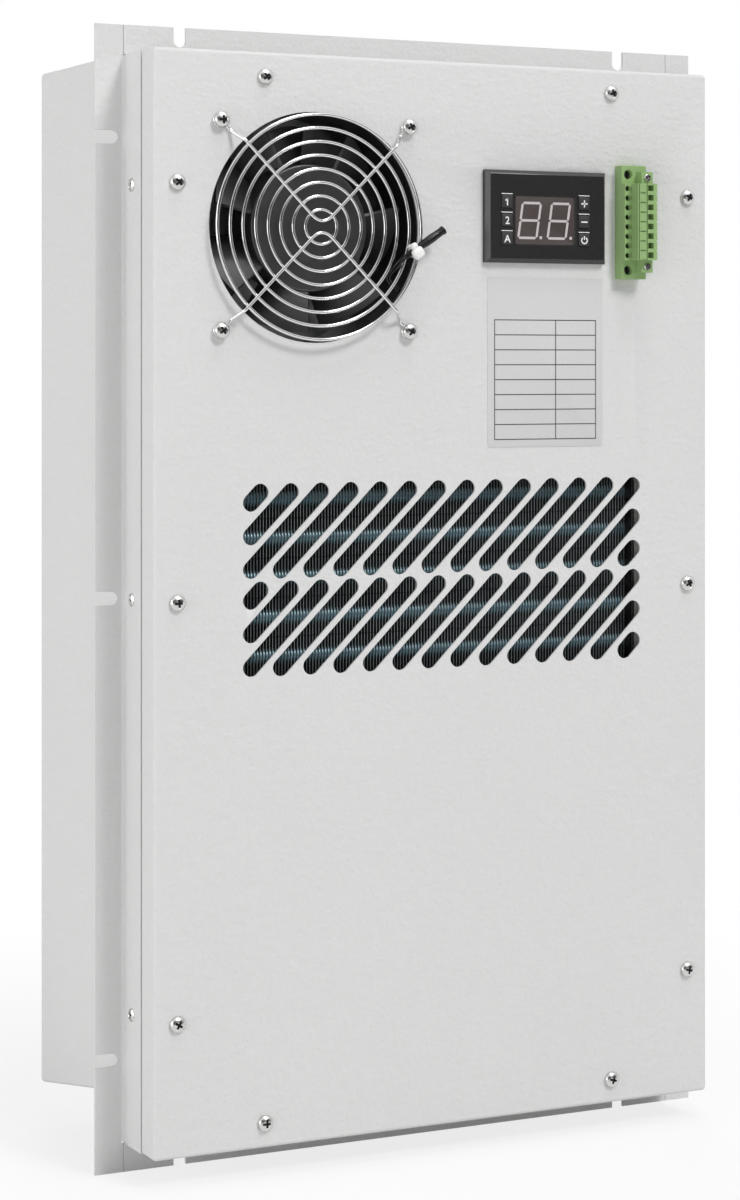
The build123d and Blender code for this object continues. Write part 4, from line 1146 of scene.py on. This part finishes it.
class COOLER_OT_controller(Operator):
    """Controller with its display, keys and marks"""
    bl_idname = "cooler.controller"
    bl_label = "Controller"

    def execute(self, context):
        settings = context.scene.cooler
        sizes, colours = settings.display, settings.colours
        plastic = moulded("bezel_plastic", colours.bezel, 0.30, grain=1500, depth=0.03 * MM, shine=0.6)
        piece("controller_shell", softened("controller_case", settings.edges.bezel), plastic,
              stands_for=["controller_case"], crease=20.0)
        self.window(sizes, colours)
        self.keys(sizes, colours)
        return {"FINISHED"}

    def window(self, sizes, colours):
        """The smoked window and its unlit digits."""
        low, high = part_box("controller_window")
        middle = (low + high) / 2
        pane = slab(high.x - low.x, high.z - low.z, high.y - low.y, sizes.pane_corner, sizes.pane_edge)
        pane.transform(facing(middle.x, high.y, middle.z))
        smoke = smoked("smoked_window", colours.window)
        piece("display_window", pane, smoke, stands_for=["controller_window"])
        digit, dot = self.digit(sizes), disc(sizes.dot, -2 * sizes.ink, sizes.ink, 20)
        lean = Matrix.Identity(4)
        lean[0][1] = tan(sizes.slant)
        front = facing(middle.x, low.y, middle.z)
        marks = []
        for across, point in DIGIT_PLACES:
            marks.append((digit, front @ moved(across * MM, 0, 0) @ lean))
            marks.append((dot, front @ moved(point * MM, -sizes.dot_drop, 0)))
        piece("display_digits", gathered(marks), printed("unlit_digits", colours.digits))

    def digit(self, sizes):
        """All seven segments of a digit, upright, centred on the origin, with mitred ends."""
        stroke = sizes.stroke
        width, height = sizes.digit_width - stroke, sizes.digit_height - stroke
        runs = [((-width / 2, level * height / 2), (width / 2, level * height / 2)) for level in (-1, 0, 1)]
        runs += [((side * width / 2, level * height / 2), (side * width / 2, 0))
                 for side in (-1, 1) for level in (-1, 1)]
        form = bmesh.new()
        for start, end in runs:
            start, end = Vector((*start, 0)), Vector((*end, 0))
            along = (end - start).normalized()
            out = Vector((-along.y, along.x, 0)) * stroke / 2
            mitre = along * stroke / 2
            first, last = start + along * sizes.gap, end - along * sizes.gap
            corners = [first, first + mitre + out, last - mitre + out,
                       last, last - mitre - out, first + mitre - out]
            face = form.faces.new([form.verts.new(corner) for corner in corners])
            raise_faces(form, [face], sizes.ink)
        return as_mesh(form)

    def keys(self, sizes, colours):
        """The six keys, the pale line over each and the marks on them."""
        low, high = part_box("controller_buttons")
        half = sizes.key / 2
        columns = (low.x + half, high.x - half)
        rows = (high.z - half, (low.z + high.z) / 2, low.z + half)
        key = slab(sizes.key, sizes.key, high.y - low.y, sizes.key_corner, sizes.key_edge)
        line = slab(sizes.key, sizes.line, sizes.ink, sizes.line_corner)
        keys, marks = [], []
        case_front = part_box("controller_case")[0].y
        for x, column in zip(columns, KEY_SIGNS):
            for z, sign in zip(rows, column):
                keys.append(facing(x, high.y, z))
                marks.append((line, facing(x, case_front, z + half + sizes.line_gap)))
                marks.append((self.key_sign(sign, sizes), facing(x, low.y, z - sizes.mark_drop)))
        rubber = moulded("key_rubber", colours.keys, 0.5, grain=1300, depth=0.04 * MM)
        piece("controller_keys", repeated(key, keys), rubber,
              stands_for=["controller_buttons"])
        piece("controller_marks", gathered(marks), printed("white_ink", colours.ink))

    def key_sign(self, sign, sizes):
        """A digit, a letter, a plus or minus sign or the power sign."""
        if sign == "power":
            return self.power_sign(sizes)
        if sign in "2A":
            return lettering(sign, LETTER_SIZE * sizes.mark, sizes.ink, sizes.mark_weight)
        bar = self.stroke(BAR, sizes)
        level, upright = Matrix.Identity(4), spun(pi / 2)
        if sign == "1":
            right, up = FLAG_PLACE
            flag_place = moved(right * sizes.mark, up * sizes.mark, 0) @ spun(FLAG_SLOPE)
            return gathered([(bar, upright), (self.stroke(FLAG, sizes), flag_place)])
        return repeated(bar, [level, upright] if sign == "+" else [level])

    def stroke(self, shares, sizes):
        """A level stroke of a sign by the shares of its length and width."""
        return slab(shares[0] * sizes.mark, shares[1] * sizes.mark, sizes.ink, sizes.mark_corner)

    def power_sign(self, sizes):
        """An open ring with an upright stroke."""
        radius, half_width = POWER_RADIUS * sizes.mark, POWER_STROKE * sizes.mark / 2
        form = bmesh.new()
        start = Matrix.Rotation(pi / 2 + POWER_OPENING, 3, "Z")
        points = [form.verts.new(start @ Vector((radius + step, 0, 0))) for step in (-half_width, half_width)]
        spin(form, points, [form.edges.new(points)], 2 * (pi - POWER_OPENING), 26)
        raise_faces(form, form.faces[:], sizes.ink)
        tick = self.stroke((POWER_STROKE, POWER_TICK), sizes)
        tick.transform(moved(0, POWER_TICK_LEVEL * sizes.mark, 0))
        return here([as_mesh(form), tick])


class COOLER_OT_terminals(Operator):
    """Terminal header and plug with their engraving, clamps and screws"""
    bl_idname = "cooler.terminals"
    bl_label = "Terminals"

    def execute(self, context):
        settings = context.scene.cooler
        sizes, edges, colours = settings.terminals, settings.edges, settings.colours
        green = moulded("terminal_plastic", colours.green, 0.42, grain=1200, depth=0.04 * MM)
        # The clamps and the screws down the holes are near-black steel, partly dull plating and partly
        # painted shade of those holes
        dull = plated("dull_steel_and_hole_shade", colours.steel, 0.28)
        low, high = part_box("terminal_plug")
        middle = (low.z + high.z) / 2
        poles = [middle + (index - (sizes.poles - 1) / 2) * sizes.pitch for index in range(sizes.poles)]
        plug = softened("terminal_plug", edges.plug)
        for cuts in (self.holes(sizes, low, high, poles), self.engraving(sizes, low, high, poles)):
            plug = cut_away(plug, cuts)
        piece("terminal_base", softened("terminal_header", edges.header), green,
              stands_for=["terminal_header"])
        piece("terminal_connector", plug, green, stands_for=["terminal_plug"], crease=20.0)
        piece("terminal_clamps", self.clamps(sizes, low, high, poles), dull)
        piece("terminal_mounting_screws", self.mounting(settings), dull)
        piece("terminal_lock_screws", self.locks(sizes), screw_plating(colours),
              stands_for=["terminal_screws"])
        return {"FINISHED"}

    def holes(self, sizes, low, high, poles):
        """Cutters for the holes over the clamp screws and for the wire entries."""
        step_face = high.y - sizes.step_rise
        entry, half = high.x - sizes.entry, sizes.entry_width / 2
        hole = disc(sizes.hole / 2, -sizes.hole_depth, CLEAR, 24)
        cuts = []
        for z in poles:
            cuts.append(repeated(hole, [facing(low.x + sizes.hole_x, step_face, z)]))
            cuts.append(block((entry - half, low.y - CLEAR, z - sizes.entry_below),
                              (entry + half, low.y + sizes.entry_depth, z + sizes.entry_above)))
        return here(cuts)

    def engraving(self, sizes, low, high, poles):
        """Cutters for the slots, lines and notches of the plug's front."""
        front, step_face = low.y - CLEAR, high.y - sizes.step_rise
        half_line, half_pitch = sizes.line / 2, sizes.pitch / 2
        half_slot, half_notch = sizes.slot_height / 2, sizes.notch_height / 2
        step = low.x + sizes.step
        left = step + sizes.field
        right = left + sizes.field_width
        cuts = []
        for z in poles:
            cuts.append(block((step - sizes.slot, front, z - half_slot),
                              (step - sizes.slot_near, step_face + sizes.slot_depth, z + half_slot)))
        bottom, top = poles[0] - half_pitch, poles[-1] + half_pitch
        for z in [pole - half_pitch for pole in poles] + [top]:
            cuts.append(block((left, front, z - half_line), (right, low.y + sizes.line_depth, z + half_line)))
            cuts.append(block((high.x - sizes.notch, front, z - half_notch),
                              (high.x + CLEAR, step_face, z + half_notch)))
        for x in (left - sizes.border_gap, right + sizes.border_gap):
            cuts.append(block((x - half_line, front, bottom),
                              (x + half_line, low.y + sizes.border_depth, top)))
        return here(cuts)

    def clamps(self, sizes, low, high, poles):
        """Clamp screws down their holes, and the clamps at the bottom of the wire entries."""
        screw = slotted_screw(sizes.clamp, sizes.clamp_rise)
        hole_bottom = high.y - sizes.step_rise + sizes.hole_depth
        entry, half = high.x - sizes.entry, sizes.entry_width / 2
        bottom = low.y + sizes.entry_depth
        parts = []
        for count, z in enumerate(poles):
            place = facing(low.x + sizes.hole_x, hole_bottom, z)
            parts.append((screw, place @ spun(count * sizes.clamp_turn)))
            clamp = block((entry - half, bottom - sizes.plate, z - sizes.entry_below),
                          (entry + half, bottom, z - sizes.plate_drop))
            parts.append((clamp, Matrix.Identity(4)))
        return gathered(parts)

    def mounting(self, settings):
        """The screws that hold the header, down their holes."""
        sizes = settings.terminals
        low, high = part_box("terminal_header")
        middle = (low.z + high.z) / 2
        head, _ = pan_screw(settings.screws)
        shrink = Matrix.Scale(sizes.mounting / settings.screws.head, 4)
        x, depth = low.x + sizes.mounting_x, low.y + sizes.mounting_depth
        heights = (middle - sizes.mounting_z, middle + sizes.mounting_z)
        return repeated(head, [facing(x, depth, z) @ shrink for z in heights])

    def locks(self, sizes):
        """The screws that lock the plug to the header."""
        low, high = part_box("terminal_screws")
        lock = slotted_screw(sizes.lock, high.y - low.y)
        heights = (low.z + sizes.lock / 2, high.z - sizes.lock / 2)
        return repeated(lock, [facing((low.x + high.x) / 2, high.y, z) @ spun(turn)
                               for z, turn in zip(heights, LOCK_TURNS)])


class COOLER_OT_label(Operator):
    """Rating sticker with an empty ruled table"""
    bl_idname = "cooler.label"
    bl_label = "Label"

    def execute(self, context):
        settings = context.scene.cooler
        sizes = settings.label
        low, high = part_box("rating_label")
        middle = (low + high) / 2
        plate = slab(high.x - low.x, high.z - low.z, high.y - low.y, sizes.corner, sizes.edge)
        plate.transform(facing(middle.x, high.y, middle.z))
        finish = sticker("satin_sticker", settings.colours, sizes, low, high)
        piece("rating_sticker", plate, finish, stands_for=["rating_label"])
        return {"FINISHED"}


class COOLER_OT_studio(Operator):
    """White floor and surround, soft light and the camera"""
    bl_idname = "cooler.studio"
    bl_label = "Studio"

    def execute(self, context):
        studio = context.scene.cooler.studio
        self.floor(studio)
        self.surround(context.scene, studio.ambient)
        for name, (place, side, power) in LAMPS.items():
            self.lamp(name, place, side, power)
        for name, (place, side) in CARDS.items():
            self.card(name, place, side)
        self.camera(context.scene, studio)
        context.scene.view_settings.view_transform = "Standard"
        return {"FINISHED"}

    def camera(self, scene, studio):
        """The camera of the photograph."""
        camera = bpy.data.cameras.new("camera")
        camera.lens = studio.lens
        camera.shift_y = studio.shift
        scene.camera = self.aimed("camera", camera, studio.camera, Vector(studio.aim))

    def aimed(self, name, data, place, aim):
        """A camera or lamp at a place, looking along a direction."""
        holder = held(name, data)
        holder.location = place
        holder.rotation_euler = aim.to_track_quat("-Z", "Y").to_euler()
        return holder

    def lamp(self, name, place, side, power):
        """A square soft light aimed at the part."""
        light = bpy.data.lights.new(name, "AREA")
        light.size = side
        light.energy = power
        self.aimed(name, light, place, Vector(LAMP_AIM) - Vector(place))

    def floor(self, studio):
        """A white floor that keeps the shadow under the part and fades into the surround."""
        finish = Finish("studio_floor", Roughness=0.9, Base_Color=(0.80, 0.80, 0.80))
        glow = finish.add("ShaderNodeEmission", None, {"Color": WHITE, "Strength": 1.0})
        seen = finish.rays("Is Camera Ray", "Is Glossy Ray")
        away = finish.add("ShaderNodeVectorMath", {"operation": "LENGTH"}, {0: finish.place()}, "Value")
        fade = finish.step({"Value": away, "From Min": studio.fade_start, "From Max": studio.fade_end,
                            "To Min": studio.fade, "To Max": 1.0})
        finish.show(finish.add("ShaderNodeMixShader", None, {0: seen * fade, 1: finish.surface, 2: glow}))
        self.sheet("studio_floor", moved(0, 0, CAD_BOX[0].z), studio.floor, finish.material)

    def card(self, name, place, side):
        """A black card, aimed at the part, that only reflections show, for the dark lines in bright metal."""
        black = Finish(name, Base_Color=(0.0, 0.0, 0.0), Roughness=1.0, Specular_IOR_Level=0.0)
        aim = Vector(place).to_track_quat("Z", "Y")
        holder = self.sheet(name, Matrix.LocRotScale(place, aim, None), side, black.material)
        holder.visible_camera = False
        holder.visible_diffuse = False
        holder.visible_shadow = False
        holder.visible_transmission = False

    def sheet(self, name, place, side, material):
        """A square sheet of the studio."""
        form = bmesh.new()
        bmesh.ops.create_grid(form, x_segments=2, y_segments=2, size=side / 2, matrix=place)
        mesh = as_mesh(form, name)
        mesh.materials.append(material)
        holder = held(name, mesh)
        return holder

    def surround(self, scene, ambient):
        """White to the eye and in reflections, and a softer light to everything else."""
        scene.world = bpy.data.worlds.new("surround")
        nodes = Nodes(scene.world, "ShaderNodeOutputWorld")
        shown = nodes.rays("Is Camera Ray", "Is Transmission Ray", "Is Glossy Ray")
        strength = nodes.add("ShaderNodeMapRange", None, {"Value": shown, "To Min": ambient, "To Max": 1.0})
        nodes.show(nodes.add("ShaderNodeBackground", None, {"Color": WHITE, "Strength": strength}))


class COOLER_PT_sidebar(Panel):
    """Shows a button for each step that dresses the part"""
    bl_idname = "COOLER_PT_sidebar"
    bl_label = "Cabinet cooler"
    bl_space_type = "VIEW_3D"
    bl_region_type = "UI"
    bl_category = "Cabinet cooler"

    def draw(self, context):
        for step in STEPS:
            self.layout.operator(step.bl_idname)


SETTINGS = (ScrewSizes, EdgeSizes, GuardSizes, CoilSizes, ProbeSizes, DisplaySizes, TerminalSizes, LabelSizes,
            FinishColours, StudioSettings, CoolerSettings)
STEPS = (COOLER_OT_case, COOLER_OT_screws, COOLER_OT_coils, COOLER_OT_fan, COOLER_OT_guard, COOLER_OT_probe,
         COOLER_OT_controller, COOLER_OT_terminals, COOLER_OT_label, COOLER_OT_studio)
CLASSES = (*SETTINGS, *STEPS, COOLER_PT_sidebar)


def register():
    """Adds the classes and the scene's settings."""
    for entry in CLASSES:
        bpy.utils.register_class(entry)
    bpy.types.Scene.cooler = PointerProperty(type=CoolerSettings)


def unregister():
    """Takes the settings and classes out again."""
    del bpy.types.Scene.cooler
    for entry in reversed(CLASSES):
        bpy.utils.unregister_class(entry)


def main():
    """Runs every step in order."""
    register()
    for step in STEPS:
        group, name = step.bl_idname.split(".")
        getattr(getattr(bpy.ops, group), name)()


if __name__ == "__main__":
    main()
